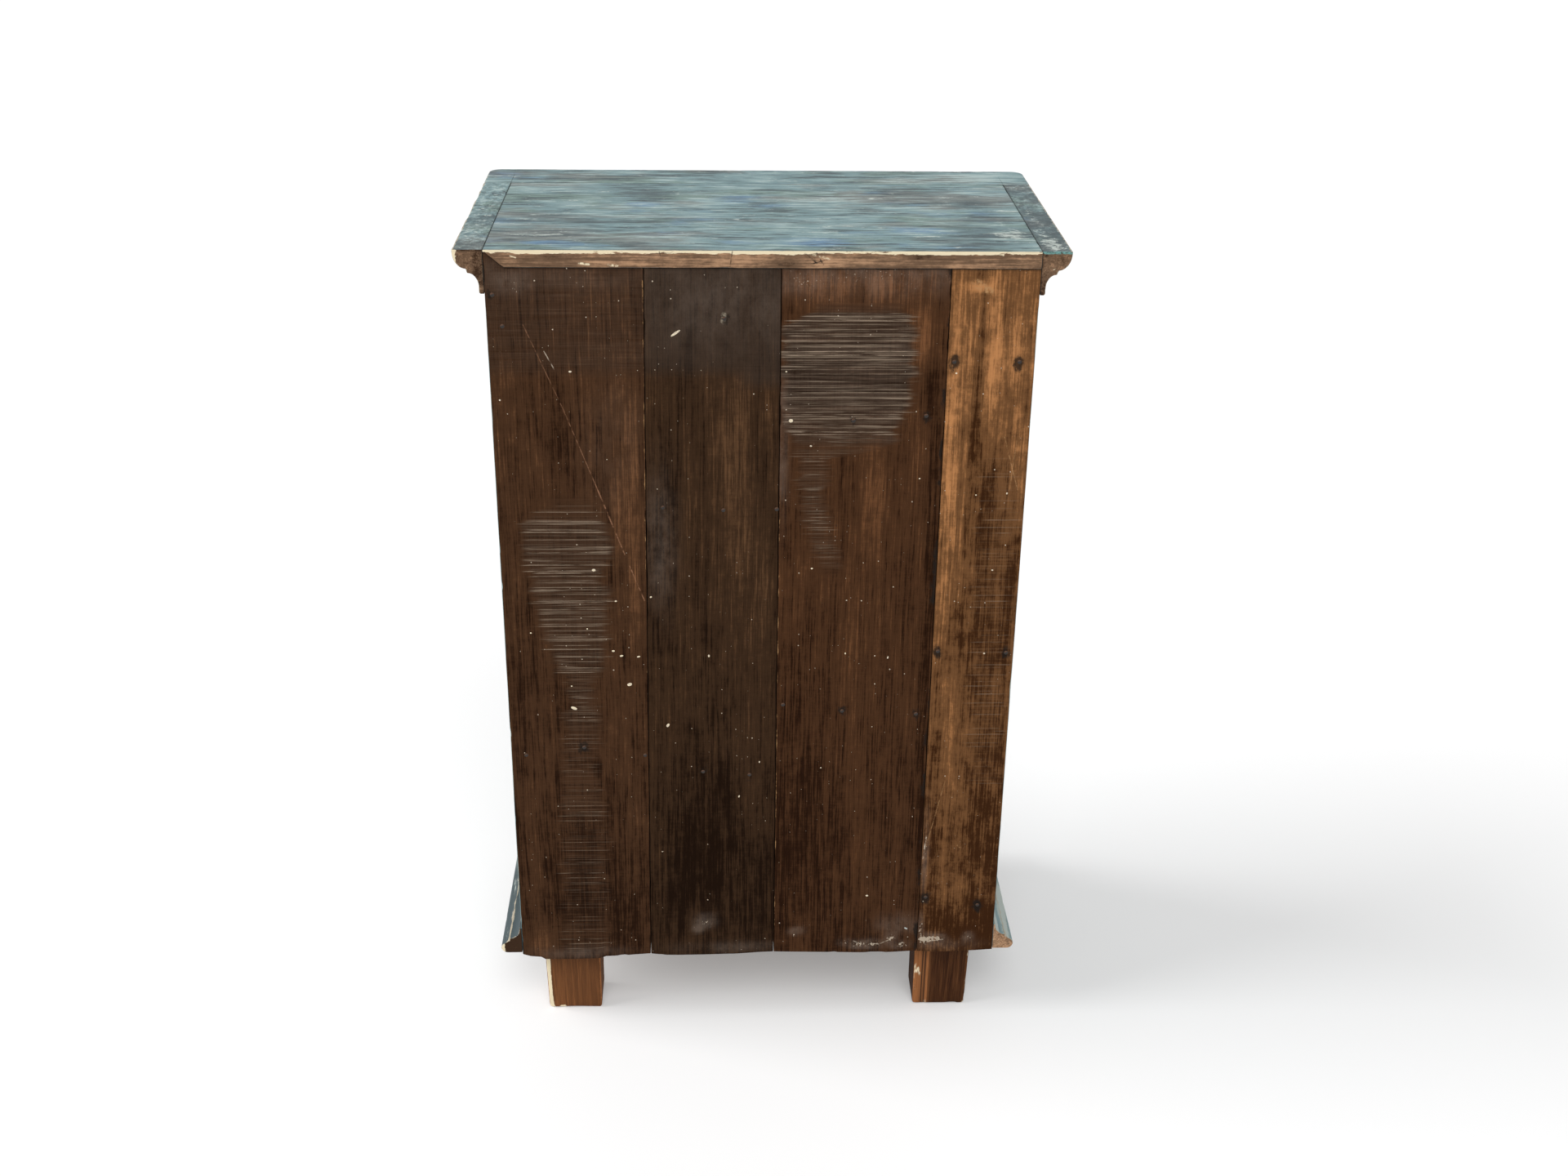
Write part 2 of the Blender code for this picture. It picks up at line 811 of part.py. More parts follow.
def build_door_rails(side, sign):
    """Top and bottom rails with stub tenons that fill the stiles' grooves."""
    meeting_x, hinge_x = door_span(sign)
    shoulder = door_stile_width + seat_gap
    tenon = groove_depth - tenon_end_gap + seat_gap
    near = meeting_x + sign * (shoulder - tenon)
    far = hinge_x - sign * (shoulder - tenon)
    shoulders = sorted((meeting_x + sign * shoulder, hinge_x - sign * shoulder))
    middle_y = front_y + door_thickness / 2
    cheek = groove_width / 2 - seat_gap
    low_x = min(near, far) - cut_overrun
    high_x = max(near, far) + cut_overrun
    rails = []
    spans = {
        "top": (door_high_z - door_top_rail_height, door_high_z),
        "bottom": (door_low_z, door_low_z + door_bottom_rail_height),
    }
    for name, (low_z, high_z) in spans.items():
        node = f"door_{side}_{name}_rail"
        rail = block(node, (near, far), (front_y, door_back_y), (low_z, high_z), PAINT)
        cheeks = []
        for end_low, end_high in ((low_x, shoulders[0]), (shoulders[1], high_x)):
            below = low_z - cut_overrun
            above = high_z + cut_overrun
            outer_y = front_y - cut_overrun
            inner_y = door_back_y + cut_overrun
            cheeks.append(((end_low, outer_y, below), (end_high, middle_y - cheek, above)))
            cheeks.append(((end_low, middle_y + cheek, below), (end_high, inner_y, above)))
        cut_boxes(rail, cheeks)
        if name == "top":
            groove_z = (low_z - cut_overrun, low_z + groove_depth)
        else:
            groove_z = (high_z - groove_depth, high_z + cut_overrun)
        cut_boxes(rail, [(
            (low_x, middle_y - groove_width / 2, groove_z[0]),
            (high_x, middle_y + groove_width / 2, groove_z[1]),
        )])
        rails.append(rail)
    return rails


def build_door_panel(side, sign):
    """A raised panel that floats in the grooves of its frame."""
    meeting_x, hinge_x = door_span(sign)
    reach = groove_depth - panel_edge_gap
    inner_x = sorted((meeting_x + sign * door_stile_width, hinge_x - sign * door_stile_width))
    middle_y = front_y + door_thickness / 2
    tongue = groove_width / 2 - seat_gap
    panel = block(
        f"door_{side}_panel",
        (inner_x[0] - reach, inner_x[1] + reach),
        (middle_y - tongue, middle_y + tongue),
        (
            door_low_z + door_bottom_rail_height - reach,
            door_high_z - door_top_rail_height + reach,
        ),
        PAINT,
    )
    mesh_edit = bmesh.new()
    mesh_edit.from_mesh(panel.data)
    face = min(mesh_edit.faces, key=lambda candidate: candidate.normal.y)
    bmesh.ops.inset_region(mesh_edit, faces=[face], thickness=panel_flat_margin)
    bmesh.ops.inset_region(mesh_edit, faces=[face], thickness=panel_slope_width, depth=panel_raise)
    mesh_edit.to_mesh(panel.data)
    mesh_edit.free()
    return panel


def joined_mesh(name, meshes):
    """Several meshes as one, each still a shell of its own."""
    mesh_edit = bmesh.new()
    for mesh in meshes:
        mesh_edit.from_mesh(mesh)
    joined = bpy.data.meshes.new(name)
    mesh_edit.to_mesh(joined)
    mesh_edit.free()
    return joined


def barrel_mesh(name, middle, spans, radius, growth):
    """Cylinders about a hinge's axis, over stretches of height about its middle."""
    meshes = []
    for low, high in spans:
        top = high + growth
        bottom = low - growth
        profile = [(0, top), (radius, top), (radius, bottom), (0, bottom)]
        meshes.append(turned_mesh(name, profile, knuckle_sides))
    return copies_mesh(name, joined_mesh(name, meshes), [Matrix.Translation(middle)])


def build_leaf(name, sign, height, toward_frame):
    """One hinge leaf with its knuckles and screws; the frame's leaf has the outer two knuckles."""
    direction = sign if toward_frame else -sign
    pivot_x = sign * pivot_half
    near = pivot_x + direction * leaf_gap / 2
    far = near + direction * leaf_thickness
    plate_half = hinge_length / 2 - leaf_end_inset
    leaf = block(
        name,
        (near, far),
        (pivot_y + pin_radius / 2, front_y + leaf_depth),
        (height - plate_half, height + plate_half),
        IRON,
    )
    half = hinge_length / 2
    sixth = hinge_length / 6
    outer = ((-half, -sixth - seat_gap), (sixth + seat_gap, half))
    inner = ((-sixth, sixth),)
    own, other = (outer, inner) if toward_frame else (inner, outer)
    middle = (pivot_x, pivot_y, height)
    knuckles = barrel_mesh("knuckles", middle, own, knuckle_radius, 0)
    matrices = screw_matrices(sign, toward_frame, screw_heights(height))
    screws = copies_mesh("screws", screw_mesh("screw", 0), matrices)
    added = joined_mesh("knuckles_and_screws", (knuckles, screws))
    boolean(leaf, cutter(f"knuckles_and_screws_{name}", added), "UNION")
    clear = barrel_mesh("clear", middle, other, knuckle_radius + seat_gap, seat_gap)
    boolean(leaf, cutter(f"clear_{name}", clear))
    pin_hole = barrel_mesh("pin_hole", middle, ((-half, half),), pin_radius + seat_gap, cut_overrun)
    boolean(leaf, cutter(f"pin_hole_{name}", pin_hole))
    return leaf


def pin_mesh():
    """A hinge pin with a flat tip at each end, just clear of the knuckles."""
    reach = hinge_length / 2 + seat_gap
    tip = reach + pin_tip_height
    profile = [(0, tip), (pin_tip_radius, tip), (pin_tip_radius, reach), (pin_radius, reach)]
    profile += [(radius, -height) for radius, height in reversed(profile)]
    return turned_mesh("hinge_pin", profile, eye_sides)


def build_hinges():
    """Leaves and pins of the four hinges; each door's own leaves are returned."""
    pin = pin_mesh()
    door_leaves = {}
    for side, sign in SIDES:
        door_leaves[side] = []
        for level, height in zip(("lower", "upper"), hinge_heights()):
            build_leaf(f"hinge_{side}_{level}_frame_leaf", sign, height, True)
            door_leaves[side].append(build_leaf(f"hinge_{side}_{level}_door_leaf", sign, height, False))
            matrix = Matrix.Translation((sign * pivot_half, pivot_y, height))
            solid(f"hinge_{side}_{level}_pin", pin, matrix, IRON)
    return door_leaves


def pull_matrix(sign):
    """Stands a pull's turned pieces up: local Z toward the front, origin on the door's face."""
    turn = Matrix.Rotation(math.radians(90), 4, "X")
    return Matrix.Translation((sign * pull_half, front_y, pull_z)) @ turn


def build_pull(side, sign):
    """A ring pull: plate, post and shank in one piece, a square nut inside, and the ring."""
    rim = plate_thickness / 2
    face = plate_thickness + seat_gap
    plate_profile = [
        (0, face),
        (plate_radius - plate_rim, face),
        (plate_radius, face - rim),
        (plate_radius, seat_gap),
        (shank_radius, seat_gap),
        (shank_radius, -door_thickness - shank_tail),
        (0, -door_thickness - shank_tail),
    ]
    plate_mesh = turned_mesh("pull_plate", plate_profile, plate_sides)
    mount = solid(f"pull_plate_{side}", plate_mesh, pull_matrix(sign), IRON)
    x = sign * pull_half
    post = boxes_mesh("post", [(
        (x - post_width / 2, front_y - face - post_projection, pull_z - post_height / 2),
        (x + post_width / 2, front_y - face + rim / 2, pull_z + post_height / 2),
    )])
    boolean(mount, cutter(f"post_{side}", post), "UNION")
    eye_y = front_y - face - eye_distance
    eye = turned_mesh(
        "eye",
        [(0, post_width), (eye_radius, post_width), (eye_radius, -post_width), (0, -post_width)],
        eye_sides,
    )
    eye_tool = cutter(f"cut_eye_{side}", eye)
    across = Matrix.Rotation(math.radians(90), 4, "Y")
    eye_tool.matrix_world = Matrix.Translation((x, eye_y, pull_z)) @ across
    boolean(mount, eye_tool)

    nut_front = door_back_y + seat_gap
    nut = block(
        f"pull_nut_{side}",
        (x - nut_width / 2, x + nut_width / 2),
        (nut_front, nut_front + nut_thickness),
        (pull_z - nut_width / 2, pull_z + nut_width / 2),
        IRON,
    )
    bore_reach = door_thickness + shank_tail + cut_overrun
    bore_radius = shank_radius + seat_gap
    bore = turned_mesh(
        "nut_bore",
        [(0, 0), (bore_radius, 0), (bore_radius, -bore_reach), (0, -bore_reach)],
        eye_sides,
    )
    bore_tool = cutter(f"cut_nut_{side}", bore)
    bore_tool.matrix_world = pull_matrix(sign)
    boolean(nut, bore_tool)

    bpy.ops.mesh.primitive_torus_add(
        major_radius=ring_radius,
        minor_radius=ring_wire_radius,
        major_segments=ring_segments,
        minor_segments=ring_wire_sides,
        location=(x, eye_y, pull_z - ring_radius),
        rotation=(math.radians(90), 0, 0),
    )
    ring = bpy.context.active_object
    ring.name = f"pull_ring_{side}"
    ring.data.name = ring.name
    shade_round(place(ring, PARTS, IRON))
    ring_pivot = make_pivot(f"ring_pivot_{side}", (x, eye_y, pull_z))
    attach(ring_pivot, [ring])
    return [mount, nut, ring_pivot]


def build_doors():
    """Both doors with their hinges and pulls, each on a pivot at its hinge axis."""
    door_leaves = build_hinges()
    for side, sign in SIDES:
        pieces = build_door_stiles(side, sign)
        pieces += build_door_rails(side, sign)
        pieces.append(build_door_panel(side, sign))
        pieces += door_leaves[side]
        pieces += build_pull(side, sign)
        pivot = make_pivot(f"door_pivot_{side}", (sign * pivot_half, pivot_y, pull_z))
        attach(pivot, pieces)


def build_cabinet():
    """Every piece of the cabinet, from the top down and then the doors."""
    build_top_panel()
    build_front_board()
    build_side_crowns()
    build_carcass()
    build_front_stiles()
    build_base_mouldings()
    build_back_planks()
    build_feet_and_bottom()
    build_inside()
    build_doors()


build_cabinet()
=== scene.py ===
"""Low painted cabinet: the finish of every piece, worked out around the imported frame.

Each piece is a surface computed with numpy in place of its plain solid, with a
procedural finish that reads the piece's own attributes. Metres, +Z up; the doors
face -Y and the plank back faces +Y. Left and right are those of a person in
front of the doors.
"""
import json
import math

import bpy
import numpy as np
from bpy.props import FloatProperty, FloatVectorProperty, PointerProperty
from mathutils import Matrix, Vector


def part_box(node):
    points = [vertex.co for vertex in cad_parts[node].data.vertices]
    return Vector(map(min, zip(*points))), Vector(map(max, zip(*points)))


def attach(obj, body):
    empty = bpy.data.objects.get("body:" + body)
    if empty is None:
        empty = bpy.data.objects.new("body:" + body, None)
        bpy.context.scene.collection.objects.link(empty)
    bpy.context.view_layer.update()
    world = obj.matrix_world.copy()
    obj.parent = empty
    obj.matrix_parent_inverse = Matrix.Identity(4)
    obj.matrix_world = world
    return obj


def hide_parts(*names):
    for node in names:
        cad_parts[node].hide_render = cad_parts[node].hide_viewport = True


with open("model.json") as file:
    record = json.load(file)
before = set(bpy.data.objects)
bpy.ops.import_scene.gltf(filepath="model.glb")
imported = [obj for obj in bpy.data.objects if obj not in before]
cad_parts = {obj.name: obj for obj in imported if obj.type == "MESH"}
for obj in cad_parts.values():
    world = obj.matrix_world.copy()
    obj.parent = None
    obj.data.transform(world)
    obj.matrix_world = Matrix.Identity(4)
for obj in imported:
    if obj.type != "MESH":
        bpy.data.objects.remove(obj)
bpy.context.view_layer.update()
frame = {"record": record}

bl_info = {
    "name": "Low Painted Cabinet",
    "version": (1, 0, 0),
    "blender": (4, 5, 0),
    "location": "3D View > Sidebar > Cabinet",
    "description": "Makes the pieces, finishes and stage of a low painted cabinet",
    "category": "Object",
}

RECORD = frame["record"]
BODY_OF = {node: body for body, nodes in RECORD["behaviour"]["bodies"].items() for node in nodes}
SIDES = (("left", -1), ("right", 1))
# Depth in metres of the waves in a sawn face, and how far inward a board's edge wear reaches
BOARD_RELIEF, EDGE_REACH = 0.00015, 0.0028
# A board's extra grid lines along each axis: none
NO_LINES = ((), (), ())

# Numbers and surfaces


def ease(value, low, high):
    """0 below low, 1 above high and 3t^2 - 2t^3 between them."""
    t = np.clip((value - low) / (high - low), 0, 1)
    return t * t * (3 - 2 * t)


def fade(gap, reach):
    """1 where the gap is 0, and exp(-(gap / reach)^2) further off."""
    return np.exp(-((gap / reach) ** 2))


def places(*columns):
    """Points from their coordinates, each one an array or a number."""
    return np.stack(np.broadcast_arrays(*columns), axis=1)


def noise(points, scale, seed):
    """Smooth values from -1 to 1: hashed values at a lattice's corners, blended by 3t^2 - 2t^3."""
    spot = np.asarray(points, float) * scale + seed * 17.31
    cell = np.floor(spot).astype(np.int64)
    part = spot - cell
    part = part * part * (3 - 2 * part)
    total = np.zeros(len(spot))
    for corner in np.ndindex(2, 2, 2):
        key = (cell + corner) @ np.array([374761393, 668265263, 1442695041])
        key = (key ^ (key >> 13)) * 1274126177 & 0xFFFFFFFF
        value = (key ^ (key >> 16)) % 4096 / 2047.5 - 1
        total += value * np.prod(np.where(np.array(corner, bool), part, 1 - part), axis=1)
    return total


def grid_lines(low, high, step, wear, extra=()):
    """Places of grid lines along one axis: close together at worn ends, then at most one step apart."""
    margin = np.array([0, 0.3, 0.7, 1.2, 2.0, 3.2]) * wear
    count = max(2, int((high - low - 2 * margin[-1]) / step) + 2)
    middle = np.linspace(low + margin[-1], high - margin[-1], count)
    lines = np.concatenate([low + margin, middle, high - margin, np.asarray(extra, float)])
    lines = np.unique(np.round(lines[(lines >= low) & (lines <= high)], 6))
    return lines[np.concatenate([[True], np.diff(lines) > 4e-6])]


def shell(lines):
    """The outside of a box of grid lines as one closed mesh of quads: (points, quads)."""
    shape = [len(line) for line in lines]
    outside = np.ones(shape, bool)
    outside[1:-1, 1:-1, 1:-1] = False
    number = np.cumsum(outside.ravel()).reshape(shape) - 1
    spots = np.nonzero(outside)
    points = np.stack([lines[axis][spots[axis]] for axis in range(3)], axis=1)
    quads = []
    for axis, turned in ((0, False), (1, True), (2, False)):
        for end in (0, -1):
            sheet = np.take(number, end, axis=axis)
            ring = [sheet[:-1, :-1], sheet[1:, :-1], sheet[1:, 1:], sheet[:-1, 1:]]
            quad = np.stack([part.ravel() for part in ring], axis=1)
            quads.append(quad if (end == -1) != turned else quad[:, ::-1])
    return points, np.concatenate(quads)


class Surface:
    """A computed surface with the values that its finish reads at each point.

    grain is a place in the timber (along, across, depth). wear is (edge, bare, cream, grime) and
    marks is (blue, stain, tone, pale). Back planks read wear as (haze, painted, arris, grime) and
    marks as (saw ridge, stain, tone, sawn zone). Grime also holds painted shade on the feet and
    painted shadow lines on the top and the back planks; tone also holds painted light and shade on
    the back planks, the door panels and the base mouldings.
    """

    def __init__(self, points, faces, grain, wear=None, marks=None):
        count = len(points)
        self.points = points
        self.faces = faces
        self.grain = grain
        self.wear = np.zeros((count, 4)) if wear is None else wear
        self.marks = np.tile([0, 0, 0.5, 0.0], (count, 1)) if marks is None else marks


def stood(points, matrix):
    """Points moved by a 4 x 4 matrix."""
    matrix = np.array(matrix)
    return points @ matrix[:3, :3].T + matrix[:3, 3]


def stand(x, y, z, degrees, axis="X"):
    """The matrix of a turn about an axis followed by a move to a place."""
    return Matrix.Translation((x, y, z)) @ Matrix.Rotation(math.radians(degrees), 4, axis)


def mirrored(profile):
    """A profile of (radius, height) followed by its mirror image below."""
    return profile + [(radius, -height) for radius, height in reversed(profile)]


def ring_of(loop, sides, matrix):
    """A closed loop of (radius, height) turned about Z, such as a tube with a bore or a wire ring."""
    loop = np.array(loop, float)
    count = len(loop)
    angle = np.arange(sides) * 2 * math.pi / sides
    flat = [np.outer(turn(angle), loop[:, 0]) for turn in (np.cos, np.sin)]
    points = np.stack([*flat, np.tile(loop[:, 1], (sides, 1))], axis=-1).reshape(-1, 3)
    turn, step = np.divmod(np.arange(sides * count), count)
    after, onward = (turn + 1) % sides, (step + 1) % count
    corners = [turn * count + step, after * count + step, after * count + onward, turn * count + onward]
    return outward(Surface(stood(points, matrix), np.stack(corners, axis=1), points))


def join(surfaces):
    """Several surfaces as one, each still closed on its own."""
    faces, start = [], 0
    for surface in surfaces:
        faces += [[corner + start for corner in face] for face in np_list(surface.faces)]
        start += len(surface.points)
    keys = ("points", "grain", "wear", "marks")
    points, *values = [np.concatenate([getattr(s, key) for s in surfaces]) for key in keys]
    return Surface(points, faces, *values)


def np_list(values):
    """A plain list of an array or list."""
    return values.tolist() if hasattr(values, "tolist") else values


def timber(points, low, high, along, seed):
    """Places in the timber: along the grain, across it from the middle, and depth above the pith."""
    across = sorted({0, 1, 2} - {along}, key=lambda axis: low[axis] - high[axis])
    middle = (low + high) / 2
    shift = noise([[seed * 0.71, 0.3, 0.9]], 1, 3)[0]
    grain = np.empty_like(points)
    grain[:, 0] = points[:, along] + seed * 1.37
    grain[:, 1] = points[:, across[0]] - middle[across[0]] + 0.03 * shift
    grain[:, 2] = points[:, across[1]] - middle[across[1]] + 0.045 + 0.02 * shift
    return grain


def board(low, high, along, seed, wear, step, extra=NO_LINES):
    """A sawn board as a worn box.

    Each grid point p has a core point q, which is p held a worn radius inside the box. The
    surface is q + radius * (p - q) / |p - q|, less a small wavy relief. The radius changes
    along the edges. extra has more places of grid lines for each axis.
    """
    low, high = np.array(low, float), np.array(high, float)
    lines = [
        grid_lines(low[axis], high[axis], step * (3 if axis == along else 1), wear, extra[axis])
        for axis in range(3)
    ]
    points, faces = shell(lines)
    gaps = np.sort(np.minimum(points - low, high - points), axis=1)[:, 1]
    soft, rubbed = noise(points, 34, seed), ease(noise(points, 75, seed + 1), 0.35, 0.8)
    radius = wear * (0.75 + 0.45 * soft + 1.7 * rubbed)
    radius = np.clip(radius, 0.3 * wear, min(3 * wear, 0.42 * (high - low).min()))[:, None]
    core = np.clip(points, low + radius, high - radius)
    away = points - core
    length = np.linalg.norm(away, axis=1, keepdims=True)
    normal = away / np.maximum(length, 1e-9)
    grain = timber(points, low, high, along, seed)
    dips = BOARD_RELIEF * (0.5 + 0.5 * noise(grain, (6, 55, 55), seed + 2))[:, None]
    worn = np.where(length > 1e-9, core + normal * (radius - dips), points)
    surface = Surface(worn, faces, grain)
    surface.wear[:, 0] = fade(gaps, EDGE_REACH)
    surface.normal = normal
    surface.seat = points
    return surface


def outward(surface):
    """Turns all faces round if the signed volume of a closed surface is negative."""
    corner = surface.points[surface.faces]
    fan = np.cross(corner[:, 1] - corner[:, 0], corner[:, 2] - corner[:, 0])
    fan += np.cross(corner[:, 2] - corner[:, 0], corner[:, 3] - corner[:, 0])
    if (corner.mean(axis=1) * fan).sum() < 0:
        surface.faces = surface.faces[:, ::-1]
    return surface


def turned(profile, sides, matrix):
    """A profile of (radius, height) from axis to axis, turned about Z: (r cos a, r sin a, h)."""
    profile = np.array(profile, float)
    angle = np.arange(sides) * 2 * math.pi / sides
    inner = profile[1:-1]
    flat = [np.outer(inner[:, 0], turn(angle)) for turn in (np.cos, np.sin)]
    ring = np.stack([*flat, np.repeat(inner[:, 1:], sides, 1)], axis=-1).reshape(-1, 3)
    poles = [[0, 0, profile[0, 1]], [0, 0, profile[-1, 1]]]
    points = np.concatenate([ring, poles])
    first = np.arange(len(inner) - 1)[:, None] * sides
    here, after = np.arange(sides), (np.arange(sides) + 1) % sides
    quads = [first + here, first + sides + here, first + sides + after, first + after]
    top, last = len(ring), (len(inner) - 1) * sides
    faces = np_list(np.stack(quads, axis=-1).reshape(-1, 4))
    faces += [[top, a, b] for a, b in zip(np_list(here), np_list(after))]
    faces += [[top + 1, last + b, last + a] for a, b in zip(np_list(here), np_list(after))]
    return Surface(stood(points, matrix), faces, points.copy())


# Pieces


def piece(name, surface, finish, node=None, angle=50):
    """Makes a surface an object with a finish. It stands for a CAD node, or is added to the cabinet."""
    mesh = bpy.data.meshes.new(name)
    mesh.from_pydata(np_list(surface.points), [], np_list(surface.faces))
    mesh.update()
    for key, kind in (("grain", "vector"), ("wear", "color"), ("marks", "color")):
        layer = mesh.attributes.new(key, f"FLOAT_{kind.upper()}", "POINT")
        layer.data.foreach_set(kind, getattr(surface, key).astype(np.float32).ravel())
    mesh.shade_smooth()
    mesh.set_sharp_from_angle(angle=math.radians(angle))
    item = bpy.data.objects.new(name, mesh)
    bpy.context.scene.collection.objects.link(item)
    mesh.materials.append(bpy.data.materials[finish])
    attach(item, BODY_OF.get(node, "cabinet"))
    if node:
        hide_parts(node)


def aged(node, surface, finish):
    """Makes the aged wooden piece of a CAD node."""
    piece(f"{node}_aged", surface, finish, node)


def iron(node, surface, angle=35):
    """Makes the worn iron piece of a CAD node."""
    piece(f"{node}_worn", surface, "old_iron", node, angle=angle)


def bounds_of(node):
    """The low and high corner of a CAD node as arrays."""
    low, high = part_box(node)
    return np.array(low), np.array(high)


# Finishes


class Tree:
    """Adds nodes to a node tree. An input is a number, a place, a colour or another node's socket."""

    def __init__(self, tree):
        self.tree = tree

    def set(self, socket, value):
        if isinstance(value, bpy.types.NodeSocket):
            self.tree.links.new(value, socket)
        elif socket.type == "RGBA" and len(value) == 3:
            socket.default_value = (*value, 1.0)
        else:
            socket.default_value = value

    def add(self, kind, inputs=None, output=0, **settings):
        node = self.tree.nodes.new(kind)
        for key, value in settings.items():
            setattr(node, key, value)
        for key, value in (inputs or {}).items():
            self.set(node.inputs[key], value)
        return node.outputs[output]

    def math(self, operation, a, b=0.0, clamp=False):
        return self.add("ShaderNodeMath", {0: a, 1: b}, operation=operation, use_clamp=clamp)

    def plus(self, a, b):
        return self.math("ADD", a, b)

    def minus(self, a, b):
        return self.math("SUBTRACT", a, b)

    def times(self, a, b, clamp=False):
        return self.math("MULTIPLY", a, b, clamp)

    def most(self, a, b):
        return self.math("MAXIMUM", a, b)

    def vector(self, operation, a, b=(0, 0, 0), output="Vector"):
        return self.add("ShaderNodeVectorMath", {0: a, 1: b}, output, operation=operation)

    def mix(self, factor, a, b):
        return self.add("ShaderNodeMix", {0: factor, 6: a, 7: b}, 2, data_type="RGBA")

    def step(self, value, low, high):
        inputs = {"Value": value, "From Min": low, "From Max": high}
        return self.add("ShaderNodeMapRange", inputs, interpolation_type="SMOOTHSTEP")

    def total(self, start, *parts):
        """start plus each (noise, weight) part, counted from the noise's own middle of 0.5."""
        for value, weight in parts:
            start = self.add("ShaderNodeMath", {0: value, 1: weight, 2: start}, operation="MULTIPLY_ADD")
        return self.minus(start, sum(weight for _, weight in parts) / 2)

    def noise(self, place, scale, detail=2.0, rough=0.5, output="Fac"):
        scaled = self.vector("MULTIPLY", place, scale)
        inputs = {"Vector": scaled, "Scale": 1.0, "Detail": detail, "Roughness": rough}
        return self.add("ShaderNodeTexNoise", inputs, output)

    def layer(self, name):
        """The (red, green, blue, alpha) sockets of a colour attribute."""
        node = self.tree.nodes.new("ShaderNodeAttribute")
        node.attribute_name = name
        parts = self.tree.nodes.new("ShaderNodeSeparateColor")
        self.tree.links.new(node.outputs["Color"], parts.inputs[0])
        return [*parts.outputs, node.outputs["Alpha"]]

    def place(self, name):
        """The vector of an attribute."""
        return self.add("ShaderNodeAttribute", output="Vector", attribute_name=name)

    def use(self, name, inputs):
        """The outputs of a node group, by name."""
        node = self.tree.nodes.new("ShaderNodeGroup")
        node.node_tree = bpy.data.node_groups[name]
        for key, value in inputs.items():
            self.set(node.inputs[key], value)
        return node.outputs


def node_group(build, inputs, outputs):
    """Makes a shader node group named for build, whose outputs are what build returns, in order."""
    tree = bpy.data.node_groups.new(build.__name__, "ShaderNodeTree")
    for key, default in inputs.items():
        kind = "Float" if np.isscalar(default) else {3: "Vector", 4: "Color"}[len(default)]
        socket = tree.interface.new_socket(key, in_out="INPUT", socket_type=f"NodeSocket{kind}")
        socket.default_value = default
    for key in outputs:
        kind = "Color" if key == "Colour" else "Float"
        tree.interface.new_socket(key, in_out="OUTPUT", socket_type=f"NodeSocket{kind}")
    start = tree.nodes.new("NodeGroupInput")
    end = tree.nodes.new("NodeGroupOutput")
    for socket, value in zip(end.inputs, build(Tree(tree), start.outputs)):
        tree.links.new(value, socket)


def timber_grain(t, given):
    """Growth rings round a wandering pith, streaks and fibres drawn out along the grain, and short pores.

    Value is 0.5 on average, lower in dark grain and higher in light grain.
    """
    place = given["Grain"]
    drift = t.vector("SUBTRACT", t.noise(place, (2.4, 17, 17), 2.0, 0.5, "Color"), (0.5, 0.5, 0.5))
    bent = t.vector("ADD", place, t.vector("MULTIPLY", drift, (0, 0.03, 0.03)))
    radius = t.vector("LENGTH", t.vector("MULTIPLY", bent, (0.015, 1, 1)), output="Value")
    rings = t.add("ShaderNodeCombineXYZ", {0: t.math("DIVIDE", radius, given["Ring Width"])})
    bands = t.noise(rings, (1, 1, 1), 3.0, 0.6)
    broad = t.noise(bent, (2.6, 26, 26), 4.0, 0.6)
    streak = t.noise(bent, (6, 230, 230), 5.0, 0.72)
    fibre = t.noise(place, (17, 600, 600), 3.0, 0.65)
    pore = t.step(t.noise(place, (40, 760, 760), 2.0, 0.5), 0.60, 0.68)
    value = t.total(0.5, (bands, 0.7), (broad, 0.7), (streak, 1.1), (fibre, 1.3))
    value = t.minus(value, t.times(pore, 0.16))
    height = t.total(0.5, (fibre, 0.8), (streak, 0.5))
    return value, t.minus(height, t.times(pore, 0.4))


def worn_edge(t, given):
    """Primer shows where an edge is rubbed, and bare wood in the middle of that."""
    rough = t.noise(given["Grain"], (70, 190, 190), 4.0, 0.7)
    value = t.plus(given["Edge"], t.times(t.minus(rough, 0.5), 1.6))
    value = t.plus(value, given["Amount"])
    return t.step(value, 0.55, 0.72), t.step(value, 0.86, 1.0)


def scratch(t, given):
    """A broken line from Start to End: 1 on it, 0 further off than Width."""
    line = t.vector("SUBTRACT", given["End"], given["Start"])
    here = t.vector("SUBTRACT", given["Point"], given["Start"])
    square = t.vector("DOT_PRODUCT", line, line, "Value")
    share = t.math("DIVIDE", t.vector("DOT_PRODUCT", here, line, "Value"), square, clamp=True)
    along = t.add("ShaderNodeVectorMath", {0: line, "Scale": share}, operation="SCALE")
    gap = t.vector("DISTANCE", here, along, "Value")
    near = t.minus(1.0, t.step(t.math("DIVIDE", gap, given["Width"]), 0.3, 1.0))
    broken = t.step(t.noise(given["Point"], (130, 130, 130), 5.0, 0.75), 0.42, 0.58)
    return (t.times(near, broken),)


def specks(t, given):
    """Small dots of unlike size on an upright face, one in each cell of a share of all cells."""
    parts = t.add("ShaderNodeSeparateXYZ", {0: given["Point"]}).node.outputs
    flat = t.add("ShaderNodeCombineXYZ", {0: t.plus(parts[0], parts[1]), 1: parts[2]})
    scaled = t.add("ShaderNodeVectorMath", {0: flat, "Scale": given["Cells"]}, operation="SCALE")
    inputs = {"Vector": scaled, "Scale": 1.0}
    cells = t.add("ShaderNodeTexVoronoi", inputs, voronoi_dimensions="2D").node.outputs
    chance = t.add("ShaderNodeSeparateColor", {0: cells["Color"]}).node.outputs
    chosen = t.math("LESS_THAN", chance[0], given["Share"])
    reach = t.times(given["Radius"], t.plus(t.times(chance[1], 0.8), 0.3))
    return (t.times(t.math("LESS_THAN", cells["Distance"], reach), chosen),)


